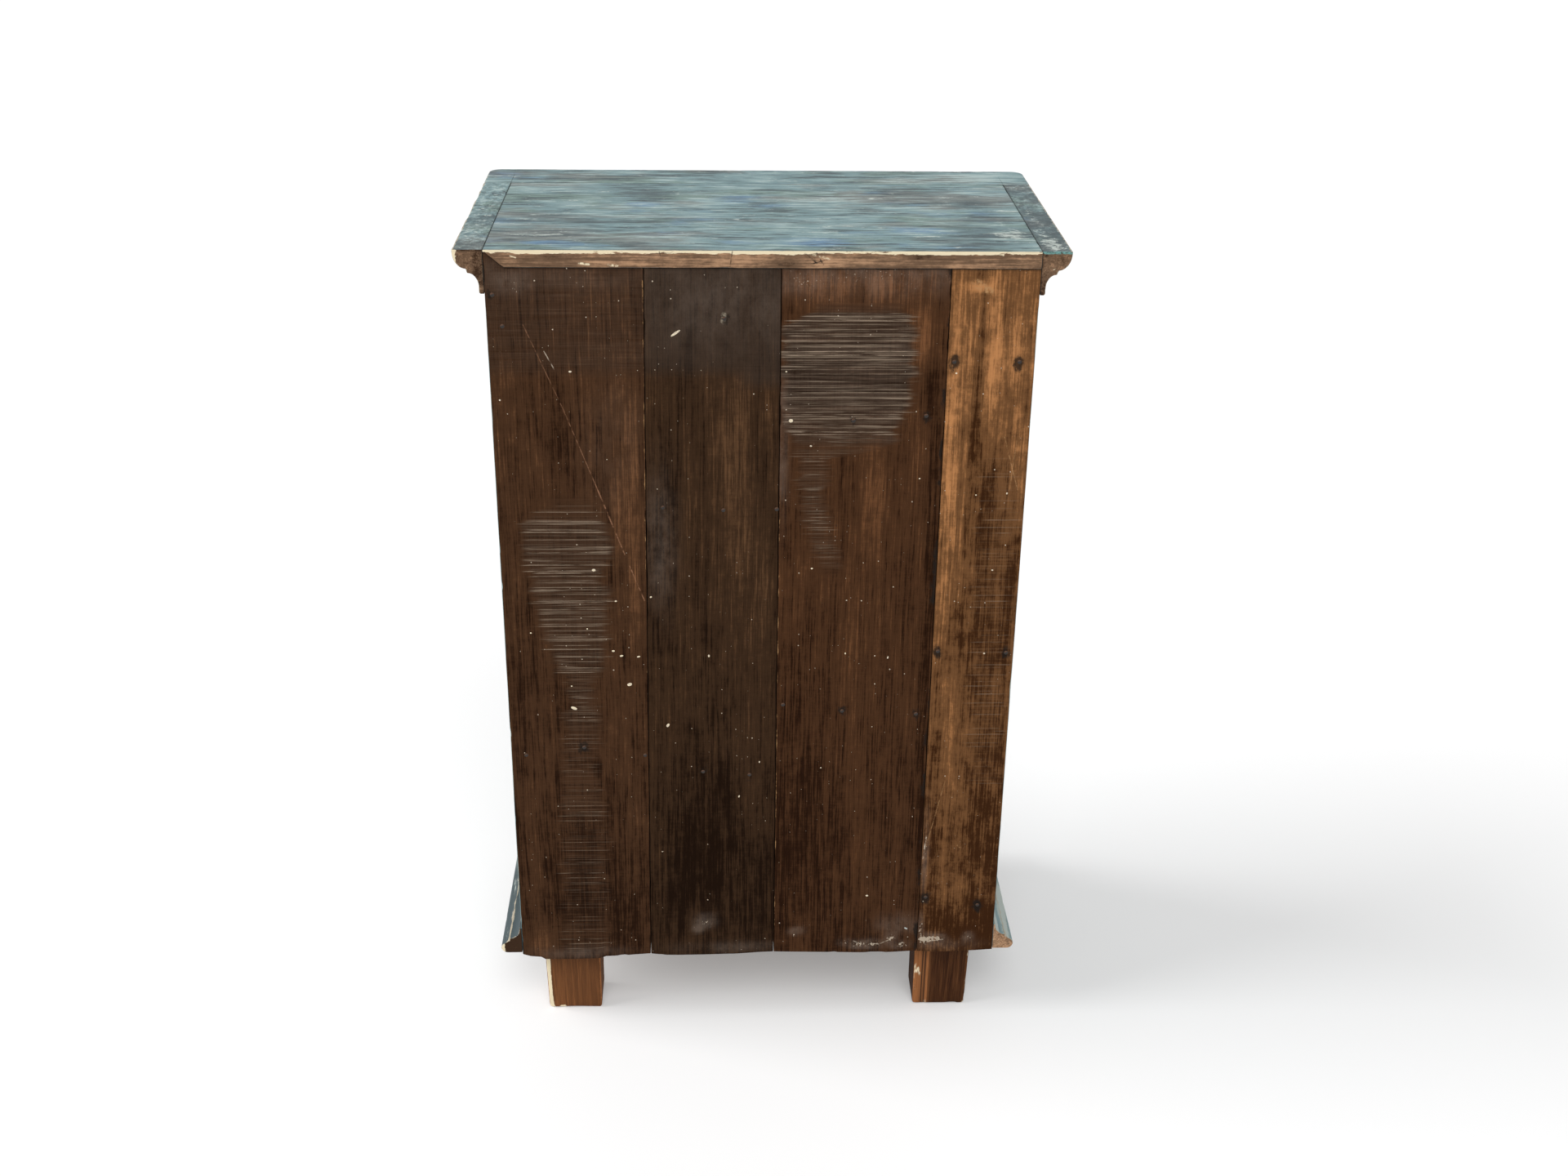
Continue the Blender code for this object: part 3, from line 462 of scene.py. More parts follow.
def streaked_paint(t, given):
    """Thin coats dragged along the grain: streaks over clouds of blue, green and taupe.

    Shortness squeezes all of them along the grain.
    """
    squeeze = t.add("ShaderNodeCombineXYZ", {0: given["Shortness"], 1: 1.0, 2: 1.0})
    place = t.vector("MULTIPLY", given["Grain"], squeeze)
    colour = given["Middle"]
    for name, shift, scale, low, high in (
        ("Green", (9.1, 3.3, 5.7), (6, 20, 20), 0.49, 0.62),
        ("Taupe", (4.4, 6.1, 7.3), (5, 19, 19), 0.50, 0.62),
        ("Blue", (1.7, 8.2, 2.9), (8, 24, 24), 0.56, 0.78),
    ):
        cloud = t.noise(t.vector("ADD", place, shift), scale, 5.0, 0.6)
        if name == "Blue":
            cloud = t.plus(cloud, given["Blueness"])
        colour = t.mix(t.times(t.step(cloud, low, high), 0.9), colour, given[name])
    broad = t.noise(place, (8, 62, 62), 5.0, 0.7)
    fine = t.noise(place, (13, 175, 175), 5.0, 0.78)
    soft = t.noise(place, (9, 24, 24), 3.0, 0.6)
    value = t.total(0.0, (broad, 1.5), (fine, 4.4), (soft, 2.2))
    value = t.plus(t.times(value, given["Contrast"]), 0.5)
    colour = t.mix(t.minus(1.0, t.step(value, -0.2, 0.5)), colour, given["Dark"])
    colour = t.mix(t.step(value, 0.5, 1.4), colour, given["Pale"])
    return colour, value


# What an effect's inputs hold before a finish sets them
NOWHERE, DULL = (0.0, 0.0, 0.0), (0.2, 0.2, 0.2, 1.0)
COATS = ("Dark", "Middle", "Pale", "Blue", "Green", "Taupe")
# Effects that the finishes share: what builds each one, its inputs and its outputs
EFFECTS = (
    (timber_grain, {"Grain": NOWHERE, "Ring Width": 0.004}, ("Value", "Height")),
    (worn_edge, {"Grain": NOWHERE, "Edge": 0.0, "Amount": 0.0}, ("Primer", "Wood")),
    (scratch, {"Point": NOWHERE, "Start": NOWHERE, "End": NOWHERE, "Width": 0.001}, ("Mask",)),
    (specks, {"Point": NOWHERE, "Cells": 70.0, "Share": 0.3, "Radius": 0.05}, ("Mask",)),
    (
        streaked_paint,
        {"Grain": NOWHERE, "Blueness": 0.0, "Shortness": 1.0, "Contrast": 1.0, **dict.fromkeys(COATS, DULL)},
        ("Colour", "Height"),
    ),
)


def new_finish(name):
    """The tree and the shader of a new Principled material."""
    material = bpy.data.materials.new(name)
    material.use_nodes = True
    return Tree(material.node_tree), material.node_tree.nodes["Principled BSDF"]


def dress(t, shader, colour, rough, specular, height, distance):
    """Sets a shader's inputs. Its normal follows a height, in shares of a distance in metres."""
    normal = t.add("ShaderNodeBump", {"Height": height, "Distance": distance, "Strength": 1.0})
    values = {"Base Color": colour, "Roughness": rough, "Specular IOR Level": specular, "Normal": normal}
    for key, value in values.items():
        t.set(shader.inputs[key], value)


def strokes(t, colour, look, table):
    """Lays thin broken lines over a colour. A row has a start, an end, a width, a strength and a colour."""
    point = t.add("ShaderNodeTexCoord", output="Object")
    for start, end, width, strength, name in table:
        mark = t.use("scratch", {"Point": point, "Start": start, "End": end, "Width": width})["Mask"]
        colour = t.mix(t.times(mark, strength), colour, getattr(look, name))
    return colour


def wood_colour(t, value, middle):
    """Wood of a middle colour at 0.5, nearly black at 0 and light at 1.3."""
    dark = [value * share for value, share in zip(middle, (0.26, 0.20, 0.14))]
    light = [min(1, value * share) for value, share in zip(middle, (3.3, 3.3, 3.24))]
    colour = t.mix(t.step(value, 0.0, 0.5), dark, middle)
    return t.mix(t.step(value, 0.5, 1.3), colour, light)


def bare_wood(name, middle, look, figure):
    """Unpainted wood with rubbed arrises and grime. figure is how strongly its grain shows."""
    t, shader = new_finish(name)
    grain = t.place("grain")
    edge, _, cream, dirt_and_shade = t.layer("wear")
    tone = t.layer("marks")[2]
    timber = t.use("timber_grain", {"Grain": grain, "Ring Width": 0.0045})
    value = t.total(0.5, (timber["Value"], figure), (tone, 1.0))
    rubbed = t.use("worn_edge", {"Grain": grain, "Edge": edge, "Amount": -0.15})
    value = t.plus(value, t.times(rubbed["Primer"], 0.3))
    colour = wood_colour(t, value, middle)
    lip = t.total(0.0, (t.noise(grain, (40, 90, 90), 4.0, 0.6), 1.2))
    colour = t.mix(t.step(t.plus(lip, cream), 0.42, 0.55), colour, look.cream)
    # Grime, and painted shade on the feet's down-facing faces
    colour = t.mix(dirt_and_shade, colour, look.soot)
    rough = t.plus(0.60, t.times(timber["Value"], 0.16))
    dress(t, shader, colour, rough, 0.08, timber["Height"], 0.00035)


def paint_coats(look):
    """The colours that the streaked paint takes."""
    return {coat: getattr(look, f"paint_{coat.lower()}") for coat in COATS}


def painted_wood(name, look, shortness, contrast, rubbed, table=()):
    """Streaked paint over cream primer over bare wood, worn at its edges and in patches.

    shortness and contrast are those of the streaks, rubbed is how far the edges are worn.
    """
    t, shader = new_finish(name)
    grain = t.vector("MULTIPLY", t.place("grain"), (shortness, 1, 1))
    edge, bare, cream, dirt_and_shade = t.layer("wear")
    blue, stain, tone, pale = t.layer("marks")
    timber = t.use("timber_grain", {"Grain": t.place("grain"), "Ring Width": 0.0040})
    drift = t.noise(grain, (12, 90, 90), 5.0, 0.66)
    faded = t.noise(grain, (5, 9, 9), 4.0, 0.6)
    blotch = t.noise(grain, (70, 130, 130), 5.0, 0.7)
    value = t.total(0.5, (timber["Value"], 1.0), (tone, 1.0), (drift, 1.2), (blotch, 1.2))
    wood = wood_colour(t, value, look.bare)
    traits = {"Grain": grain, "Blueness": blue, "Contrast": contrast}
    paint = t.use("streaked_paint", {**traits, **paint_coats(look)})
    value = t.total(0.5, (tone, 1.0), (drift, 0.6 * contrast), (faded, 1.3))
    coat = t.mix(t.times(t.step(value, 0.6, 1.1), 0.7), paint["Colour"], look.paint_pale)
    coat = t.mix(t.minus(1.0, t.step(value, 0.0, 0.45)), coat, look.paint_dark)
    flake = t.noise(grain, (40, 150, 150), 6.0, 0.78)
    chalk = t.total(0.5, (flake, 1.0), (drift, 0.5))
    chalk = t.plus(t.times(pale, 0.20), chalk)
    coat = t.mix(t.times(t.step(chalk, 0.60, 0.72), 0.85), coat, look.chalk)
    worn = t.use("worn_edge", {"Grain": grain, "Edge": edge, "Amount": rubbed})
    thin = t.noise(t.vector("ADD", grain, (2.2, 7.7, 1.1)), (12, 80, 80), 6.0, 0.72)
    primer = t.most(worn["Primer"], t.step(thin, 0.70, 0.74))
    gone = t.most(worn["Wood"], t.step(thin, 0.74, 0.77))
    frayed = t.total(0.0, (blotch, 0.8))
    gone = t.most(gone, t.step(t.plus(frayed, bare), 0.45, 0.6))
    colour = t.mix(t.times(primer, 0.85), coat, look.primer)
    colour = t.mix(gone, colour, wood)
    lip = t.total(0.0, (t.noise(grain, (55, 300, 300), 5.0, 0.7), 1.5))
    colour = t.mix(t.step(t.plus(lip, cream), 0.42, 0.52), colour, look.cream)
    # Grime, and a painted shadow line on the top just inside its back edge
    colour = t.mix(dirt_and_shade, colour, look.soot)
    spread = t.total(0.0, (blotch, 1.4))
    colour = t.mix(t.step(t.plus(spread, stain), 0.4, 0.7), colour, look.soot)
    colour = strokes(t, colour, look, table)
    coat_height = t.times(t.minus(1.0, gone), t.plus(0.5, t.times(paint["Height"], 0.5)))
    wood_height = t.times(timber["Height"], t.plus(0.35, t.times(gone, 0.5)))
    rough = t.plus(0.58, t.times(gone, 0.15))
    dress(t, shader, colour, rough, 0.12, t.plus(coat_height, wood_height), 0.0003)


def plank_wood(name, middle, look, unrest, cut, sawn_top, table=()):
    """Old back plank: grained, stained and sawn wood with pale saw ridges, dust, scuffs and scratches.

    unrest is how strongly its colour changes from place to place, cut how strongly it does
    from saw mark to saw mark, and sawn_top the height below which saw marks hide the grain.
    """
    t, shader = new_finish(name)
    grain = t.place("grain")
    point = t.add("ShaderNodeTexCoord", output="Object")
    haze, painted, arris, dirt_and_shade = t.layer("wear")
    sawn, stain, tone, zone = t.layer("marks")
    timber = t.use("timber_grain", {"Grain": grain, "Ring Width": 0.0055})
    drift = t.noise(grain, (7, 60, 60), 6.0, 0.66)
    mottle = t.noise(point, (45, 45, 30), 6.0, 0.72)
    blotch = t.noise(point, (140, 140, 100), 5.0, 0.7)
    across = t.noise(point, (60, 60, 520), 4.0, 0.68)
    value = t.total(0.5, (timber["Value"], 1.0), (tone, 1.0), (across, 0.3))
    value = t.total(value, (drift, 0.45 * unrest), (mottle, 0.80 * unrest), (blotch, 0.60 * unrest))
    rows = t.noise(point, (14, 14, 480), 5.0, 0.7)
    height = t.add("ShaderNodeSeparateXYZ", {0: point}, 2)
    hidden = t.times(t.step(zone, 0.0, 0.06), t.math("LESS_THAN", height, sawn_top))
    level = t.total(0.5, (rows, 0.45 * cut), (timber["Value"], 0.3), (tone, 1.0), (mottle, 0.5))
    value = t.add("ShaderNodeMix", {0: t.times(hidden, 0.85), 2: value, 3: level})
    colour = wood_colour(t, value, middle)
    sawn_value = t.total(0.5, (rows, cut), (timber["Value"], 0.3))
    worked = wood_colour(t, sawn_value, look.sawn_dark)
    colour = t.mix(zone, colour, worked)
    scrape = t.noise(point, (24, 24, 260), 5.0, 0.7)
    ridge = t.times(sawn, t.step(scrape, 0.36, 0.60))
    lines = t.step(t.noise(t.vector("ADD", point, (3.1, 0.0, 1.7)), (9, 9, 540), 3.0, 0.6), 0.54, 0.68)
    faint = t.times(t.times(t.step(zone, 0.0, 0.5), hidden), 0.55)
    ridge = t.most(ridge, t.times(lines, faint))
    colour = t.mix(ridge, colour, look.sawn_pale)
    film = t.times(haze, t.minus(2.0, t.times(haze, 4.0)), clamp=True)
    film = t.times(film, t.step(mottle, 0.2, 0.8))
    colour = t.mix(film, colour, look.haze)
    spread = t.total(0.0, (blotch, 1.8), (drift, 0.5))
    colour = t.mix(t.times(t.step(t.plus(spread, stain), 0.30, 0.75), 0.9), colour, look.soot)
    rubbed = t.use("worn_edge", {"Grain": grain, "Edge": arris, "Amount": -0.1})
    colour = t.mix(t.times(rubbed["Primer"], 0.7), colour, look.arris)
    # Grime, and painted shadow in the joint under the top board's back edge
    colour = t.mix(t.times(dirt_and_shade, 0.8), colour, look.soot)
    flake = t.plus(t.total(0.0, (drift, 0.9)), painted)
    traits = {"Grain": grain, "Shortness": 0.36, "Contrast": 0.8}
    coat = t.use("streaked_paint", {**traits, **paint_coats(look)})["Colour"]
    coat = t.mix(t.times(t.step(drift, 0.42, 0.58), 0.75), coat, look.chalk)
    colour = t.mix(t.step(flake, 0.45, 0.60), colour, coat)
    dust = t.use("specks", {"Point": point, "Cells": 62.0, "Share": 0.10, "Radius": 0.040})["Mask"]
    grit = t.use("specks", {"Point": point, "Cells": 170.0, "Share": 0.07, "Radius": 0.07})["Mask"]
    grit = t.times(grit, t.step(mottle, 0.46, 0.6))
    flecks = t.total(0.0, (t.noise(point, (330, 330, 330), 5.0, 0.75), 1.7))
    scuffs = t.step(t.plus(flecks, haze), 0.43, 0.54)
    pale = t.most(t.most(dust, grit), t.times(scuffs, 0.8))
    colour = t.mix(t.times(pale, 0.85), colour, look.dust)
    colour = strokes(t, colour, look, table)
    rough = t.plus(0.50, t.times(timber["Value"], 0.2))
    height = t.total(0.0, (timber["Height"], 1.0), (ridge, 1.2), (mottle, 0.8))
    dress(t, shader, colour, rough, 0.03, height, 0.0003)


def old_iron(name, look):
    """Blackened iron, browner and rougher in patches."""
    t, shader = new_finish(name)
    point = t.place("grain")
    patches = t.noise(point, (90, 90, 90), 5.0, 0.65)
    fine = t.noise(point, (900, 900, 900), 3.0, 0.6)
    rust = t.step(t.plus(patches, t.times(fine, 0.15)), 0.52, 0.70)
    t.set(shader.inputs["Metallic"], t.minus(0.9, t.times(rust, 0.6)))
    rough = t.plus(0.42, t.times(rust, 0.3))
    height = t.plus(patches, t.times(fine, 0.3))
    dress(t, shader, t.mix(rust, look.iron, look.rust), rough, 0.5, height, 0.0004)


def dried_paint(name, look):
    """Drops of old distemper and splinters of fresh wood."""
    t, shader = new_finish(name)
    spots = t.noise(t.add("ShaderNodeTexCoord", output="Object"), (700, 700, 700), 3.0, 0.6)
    dress(t, shader, t.mix(t.step(spots, 0.35, 0.65), look.dust, look.cream), 0.7, 0.5, spots, 0.0002)


# Back planks. Places are in millimetres: across (X) and up (Z) on the back face

PLANK_SPANS = {1: (118.0, 266.0), 2: (-17.0, 118.0), 3: (-180.0, -17.0), 4: (-266.0, -180.0)}
LOWER_ENDS = np.array([
    (-266, 90.5), (-245, 88.8), (-201, 87.3), (-178, 89.0), (-146, 87.3), (-104, 87.8), (-48, 89.0),
    (-15, 89.6), (-1, 89.2), (26, 87.0), (45, 86.6), (91, 86.2), (105, 86.5), (122, 88.5), (147, 86.7),
    (174, 85.3), (178, 82.5), (211, 82.0), (242, 82.1), (244, 85.0), (257, 86.3), (266, 89.2),
]) / 1000
# Metres: lower end of the planks' lines, then start and length of the run of their painted shade and lean
PLANK_FOOT, PLANK_LOW, PLANK_RUN = 0.0895, 0.09, 0.79
# Metres: how high paint runs on the outer planks' edges, half a joint, distance between lines
PAINTED_TO, HALF_JOINT, PLANK_STEP = 0.84, 0.00025, 0.0045
# Lines round a nail's middle
ROUND_NAIL = np.array([-3.2, -1.7, 0, 1.7, 3.2]) / 1000
# Nails and knots: across, up, how dark the wood round them is
NAILS = (
    (251, 825, 0.3), (259, 856, 0.4), (188, 358, 0.9), (250, 349, 0.2), (123, 348, 0.2), (38, 833, 0.5),
    (100, 636, 0.4), (39, 633, 0.2), (-15, 634, 0.3), (61, 327, 0.5), (11, 323, 0.5), (-28, 729, 0.1),
    (-90, 729, 0.6), (-162, 734, 0.7), (-87, 401, 0.8), (-24, 409, 0.4), (-166, 397, 0.5), (-187, 790, 1.0),
    (-251, 790, 1.0), (-186, 472, 0.8), (-258, 470, 0.8), (-187, 162, 1.0), (-246, 151, 1.0),
)
# Sawn stretches: up, from, to, strength
SAWN = {
    1: (
        (644, 175, 205, 0.3), (624, 160, 240, 0.5), (619, 158, 243, 1.0), (595, 150, 243, 1.0),
        (575, 158, 241, 1.0), (555, 167, 233, 0.9), (545, 153, 237, 1.0), (526, 157, 234, 1.0),
        (506, 160, 229, 0.9), (476, 160, 221, 0.9), (452, 163, 214, 0.8), (441, 173, 201, 0.5),
        (429, 175, 204, 0.8), (406, 174, 200, 0.6), (398, 170, 210, 0.8), (378, 168, 206, 0.5),
        (342, 175, 214, 0.25), (271, 164, 215, 0.40), (262, 164, 215, 0.15), (186, 164, 218, 0.35),
        (170, 164, 218, 0.12), (95, 165, 222, 0.35),
    ),
    3: (
        (842, -120, -60, 0.2), (838, -144, -40, 0.9), (827, -147, -19, 0.9), (803, -150, -17, 1.0),
        (761, -148, -18, 1.0), (737, -144, -20, 0.9), (719, -127, -25, 0.8), (708, -140, -28, 0.7),
        (700, -120, -30, 0.2), (688, -69, -33, 0.45), (656, -65, -36, 0.45), (620, -68, -42, 0.4),
        (569, -84, -59, 0.3),
    ),
    4: (
        (692, -259, -218, 0.1), (619, -262, -218, 0.35), (594, -262, -215, 0.35), (508, -262, -220, 0.3),
        (411, -260, -221, 0.35), (310, -262, -226, 0.2),
    ),
}
# Least and greatest distance between saw ridges, and how far the wood between them is greyed
SAW_PITCH = {1: (1.8, 6.5), 3: (1.7, 5.0), 4: (3.0, 9.0)}
SAW_GREY = {1: 0.36, 3: 0.85, 4: 0.15}
# How strongly the colour changes from saw mark to saw mark
SAW_CONTRAST = {1: 2.4, 2: 0.8, 3: 2.8, 4: 2.4}
# Height in metres below which saw marks hide the grain
SAWN_TOP = {1: 0.77, 2: 0.0, 3: 1.0, 4: 1.0}
# Dusty film and scuffs: across, up, half width, half height, amount
HAZE = {
    1: (
        (190, 872, 70, 10, 0.05), (150, 700, 30, 60, 0.03), (200, 96, 40, 5, 0.16),
        (240, 868, 18, 10, 0.20),
    ),
    2: (
        (40, 850, 90, 45, 0.10), (105, 600, 14, 60, 0.14), (58, 131, 9, 6, 0.34), (66, 122, 5, 4, 0.34),
        (30, 98, 50, 6, 0.12),
    ),
    3: (
        (-100, 878, 130, 17, 0.25), (-35, 868, 16, 6, 0.20), (-162, 99, 9, 4, 0.58),
        (-150, 108, 6, 5, 0.54), (-131, 101, 11, 5, 0.50), (-112, 100, 9, 4, 0.54), (-97, 103, 6, 4, 0.40),
        (-43, 118, 7, 4, 0.36), (-158, 125, 20, 10, 0.20), (-20, 700, 5, 60, 0.20),
    ),
    4: (
        (-187, 105, 6, 6, 0.62), (-200, 107, 10, 4, 0.62), (-183, 120, 3, 14, 0.42),
        (-238, 108, 5, 5, 0.36), (-215, 98, 30, 6, 0.14), (-184, 230, 3, 40, 0.30),
    ),
}
# How strongly each plank's colour changes from place to place
UNREST = {1: 0.9, 2: 0.9, 3: 0.8, 4: 1.5}
# Lighter and darker places: across, up, half width, half height, amount
TONES = {
    1: (
        (190, 830, 70, 45, 0.05), (200, 430, 70, 90, -0.07), (200, 190, 80, 110, -0.09),
        (190, 650, 70, 60, 0.06), (133, 690, 13, 100, 0.34), (138, 630, 16, 60, 0.16),
        (254, 770, 12, 40, 0.16), (205, 690, 34, 95, -0.20), (240, 108, 24, 20, 0.30),
        (129, 555, 10, 60, 0.24), (150, 320, 45, 120, 0.06), (228, 450, 20, 120, 0.05),
    ),
    2: (
        (30, 690, 17, 115, 0.42), (74, 640, 8, 90, 0.18), (8, 540, 18, 140, 0.14),
        (100, 615, 15, 120, -0.26), (60, 200, 60, 110, -0.24), (50, 260, 80, 70, -0.07),
        (50, 110, 80, 25, 0.06), (0, 330, 12, 120, 0.16), (55, 840, 30, 40, -0.12),
    ),
    3: (
        (-90, 868, 80, 13, 0.30), (-100, 560, 80, 160, -0.05), (-156, 818, 11, 40, 0.44),
        (-166, 768, 9, 42, -0.22), (-110, 655, 13, 60, 0.34), (-45, 560, 18, 40, 0.18),
        (-100, 450, 45, 150, 0.10), (-174, 480, 6, 260, -0.26), (-60, 230, 50, 100, -0.10),
    ),
    4: (
        (-223, 800, 60, 80, 0.29), (-209, 865, 11, 5, 0.9), (-223, 560, 60, 90, -0.06),
        (-223, 190, 60, 120, -0.15), (-189, 650, 8, 150, 0.36), (-212, 765, 6, 100, -0.75),
        (-236, 800, 5, 60, -0.30), (-224, 625, 12, 60, -0.42), (-243, 700, 9, 70, -0.22),
        (-232, 480, 22, 60, -0.24), (-200, 330, 14, 120, 0.22), (-228, 118, 40, 30, -0.45),
        (-256, 560, 8, 60, -0.3),
    ),
}
# Drops and splinters: across, up, half length, half width, turn in degrees
DROPS = (
    (84.8, 818.5, 5.6, 1.2, 35), (98.1, 384.8, 2.4, 1.4, 60), (171.3, 566.9, 1.9, 1.5, 0),
    (137.7, 434.3, 2.6, 1.8, 20), (197.0, 406.2, 3.4, 1.7, -25), (149.7, 531.7, 1.2, 0.9, 0),
    (153.8, 474.0, 1.6, 1.0, 0), (145.4, 468.2, 1.9, 1.0, 15), (127.6, 467.2, 1.8, 0.9, 10),
    (187.6, 779.5, 1.5, 1.0, 0), (-22.9, 779.8, 0.9, 0.8, 0), (257.1, 750.1, 1.0, 0.9, 0),
    (-189.5, 778.4, 1.0, 0.9, 0), (-158.2, 667.3, 0.9, 0.7, 0), (-216.1, 649.5, 0.8, 0.7, 0),
    (-247.4, 651.3, 1.1, 0.8, 80), (-237.7, 565.9, 1.1, 0.8, 0), (-51.7, 568.2, 1.2, 0.8, 0),
    (-133.5, 465.1, 1.5, 0.8, 80), (-88.7, 470.1, 1.0, 0.7, 90), (-234.9, 469.5, 1.1, 0.8, 0),
    (-65.9, 331.3, 0.9, 0.6, 30), (22.3, 295.9, 1.4, 0.8, 70), (198.6, 432.7, 0.9, 0.7, 0),
    (180.1, 499.8, 0.9, 0.7, 0), (238.5, 495.3, 1.0, 0.7, 0), (54.2, 467.8, 1.5, 1.0, 90),
    (113.6, 536.2, 1.2, 0.9, 40), (-28.0, 729.0, 2.2, 1.9, 0), (-48.3, 702.3, 1.1, 0.9, 0),
    (0.5, 339.0, 1.2, 0.7, 80), (-121.0, 165.0, 1.5, 1.1, 0),
)
# Scratches and scuffs: from (across, up) to (across, up), width, strength, colour
SCRATCHES = {
    1: (
        (231.2, 827.1, 195.5, 740.0, 0.8, 0.5, "scratch"),
        (195.5, 740.0, 164.5, 655.2, 0.8, 0.7, "scratch"),
        (164.5, 655.2, 138.9, 583.3, 1.0, 0.9, "scratch"),
        (134.6, 571.4, 120.3, 532.5, 0.9, 0.9, "scratch"), (212, 800, 203, 782, 0.8, 0.7, "dust"),
    ),
    2: ((38, 837, 39, 830, 3.6, 0.45, "primer"),),
    3: (
        (-107.7, 103.5, -121.8, 96.6, 0.8, 0.5, "dust"), (-138.4, 99.8, -149.4, 105.3, 1.0, 0.5, "dust"),
        (-165.5, 120.8, -167.4, 119.7, 1.4, 1.0, "chalk"),
    ),
    4: (
        (-204.0, 869.0, -217.0, 861.0, 6.0, 1.0, "arris"), (-194.1, 102.6, -208.9, 104.6, 1.2, 0.5, "dust"),
        (-201.3, 312.8, -184.6, 230.0, 0.8, 0.5, "arris"), (-184.1, 241.7, -181.7, 213.9, 1.2, 0.9, "dust"),
        (-241.1, 711.9, -258.0, 654.8, 0.9, 0.6, "arris"),
        (-253.6, 707.6, -249.7, 654.8, 0.8, 0.5, "arris"),
        (-219.9, 230.7, -222.5, 227.8, 1.8, 0.9, "arris"),
    ),
}


def scratches(number, back):
    """A plank's scratches as strokes in metres. back is where the plank back lies in Y."""
    table = []
    for x, z, x_end, z_end, width, strength, colour in SCRATCHES[number]:
        start, end = (x / 1000, back, z / 1000), (x_end / 1000, back, z_end / 1000)
        table.append((start, end, width / 1000, strength, colour))
    return table


def bumps(x, z, spots):
    """The sum of soft round spots, amount * exp(-(dx / half width)^2 - (dz / half height)^2)."""
    table = np.array(spots, float) / np.array([1000, 1000, 1000, 1000, 1])
    gap = ((x[:, None] - table[:, 0]) / table[:, 2]) ** 2 + ((z[:, None] - table[:, 1]) / table[:, 3]) ** 2
    return (table[:, 4] * np.exp(-gap)).sum(axis=1)


def saw_rows(number):
    """Heights, ends and strengths of a plank's saw ridges, at uneven distances down its sawn stretches."""
    table = np.array(SAWN[number])[::-1]
    chance = np.random.default_rng(40 + number)
    least, most = SAW_PITCH[number]
    gaps = least + (most - least) * chance.random(600) ** 1.8
    height = table[-1, 0] - np.cumsum(gaps)
    height = height[height > table[0, 0]][::-1]
    start, end, strength = (np.interp(height, table[:, 0], table[:, column]) for column in (1, 2, 3))
    start += chance.uniform(-4, 10, len(height))
    end -= chance.uniform(-4, 10, len(height))
    strength = strength * (0.12 + 1.2 * chance.random(len(height)) ** 2)
    return height / 1000, start / 1000, end / 1000, strength


def sawn_marks(number, x, z):
    """(ridge, zone) at points: each ridge is 1 on its own height and 0 at 0.8 mm from it."""
    height, start, end, strength = saw_rows(number)
    after = np.clip(np.searchsorted(height, z), 1, len(height) - 1)
    nearest = np.where(z - height[after - 1] < height[after] - z, after - 1, after)
    gap = np.abs(z - height[nearest])
    inside = ease(x - start[nearest], -0.006, 0.006) * ease(end[nearest] - x, -0.006, 0.006)
    ridge = strength[nearest] * inside * (1 - ease(gap, 0.0002, 0.0008))
    table = np.array(SAWN[number])[::-1]
    low_x, high_x, amount = (np.interp(z * 1000, table[:, 0], table[:, column]) for column in (1, 2, 3))
    amount = amount * (z * 1000 < table[-1, 0]) * (z * 1000 > table[0, 0])
    ragged = 5 * noise(places(0, 0, z), 170, number)
    zone = amount ** 1.4 * ease(x * 1000 - low_x + ragged, -3, 8) * ease(high_x - x * 1000 + ragged, -3, 8)
    return ridge, zone


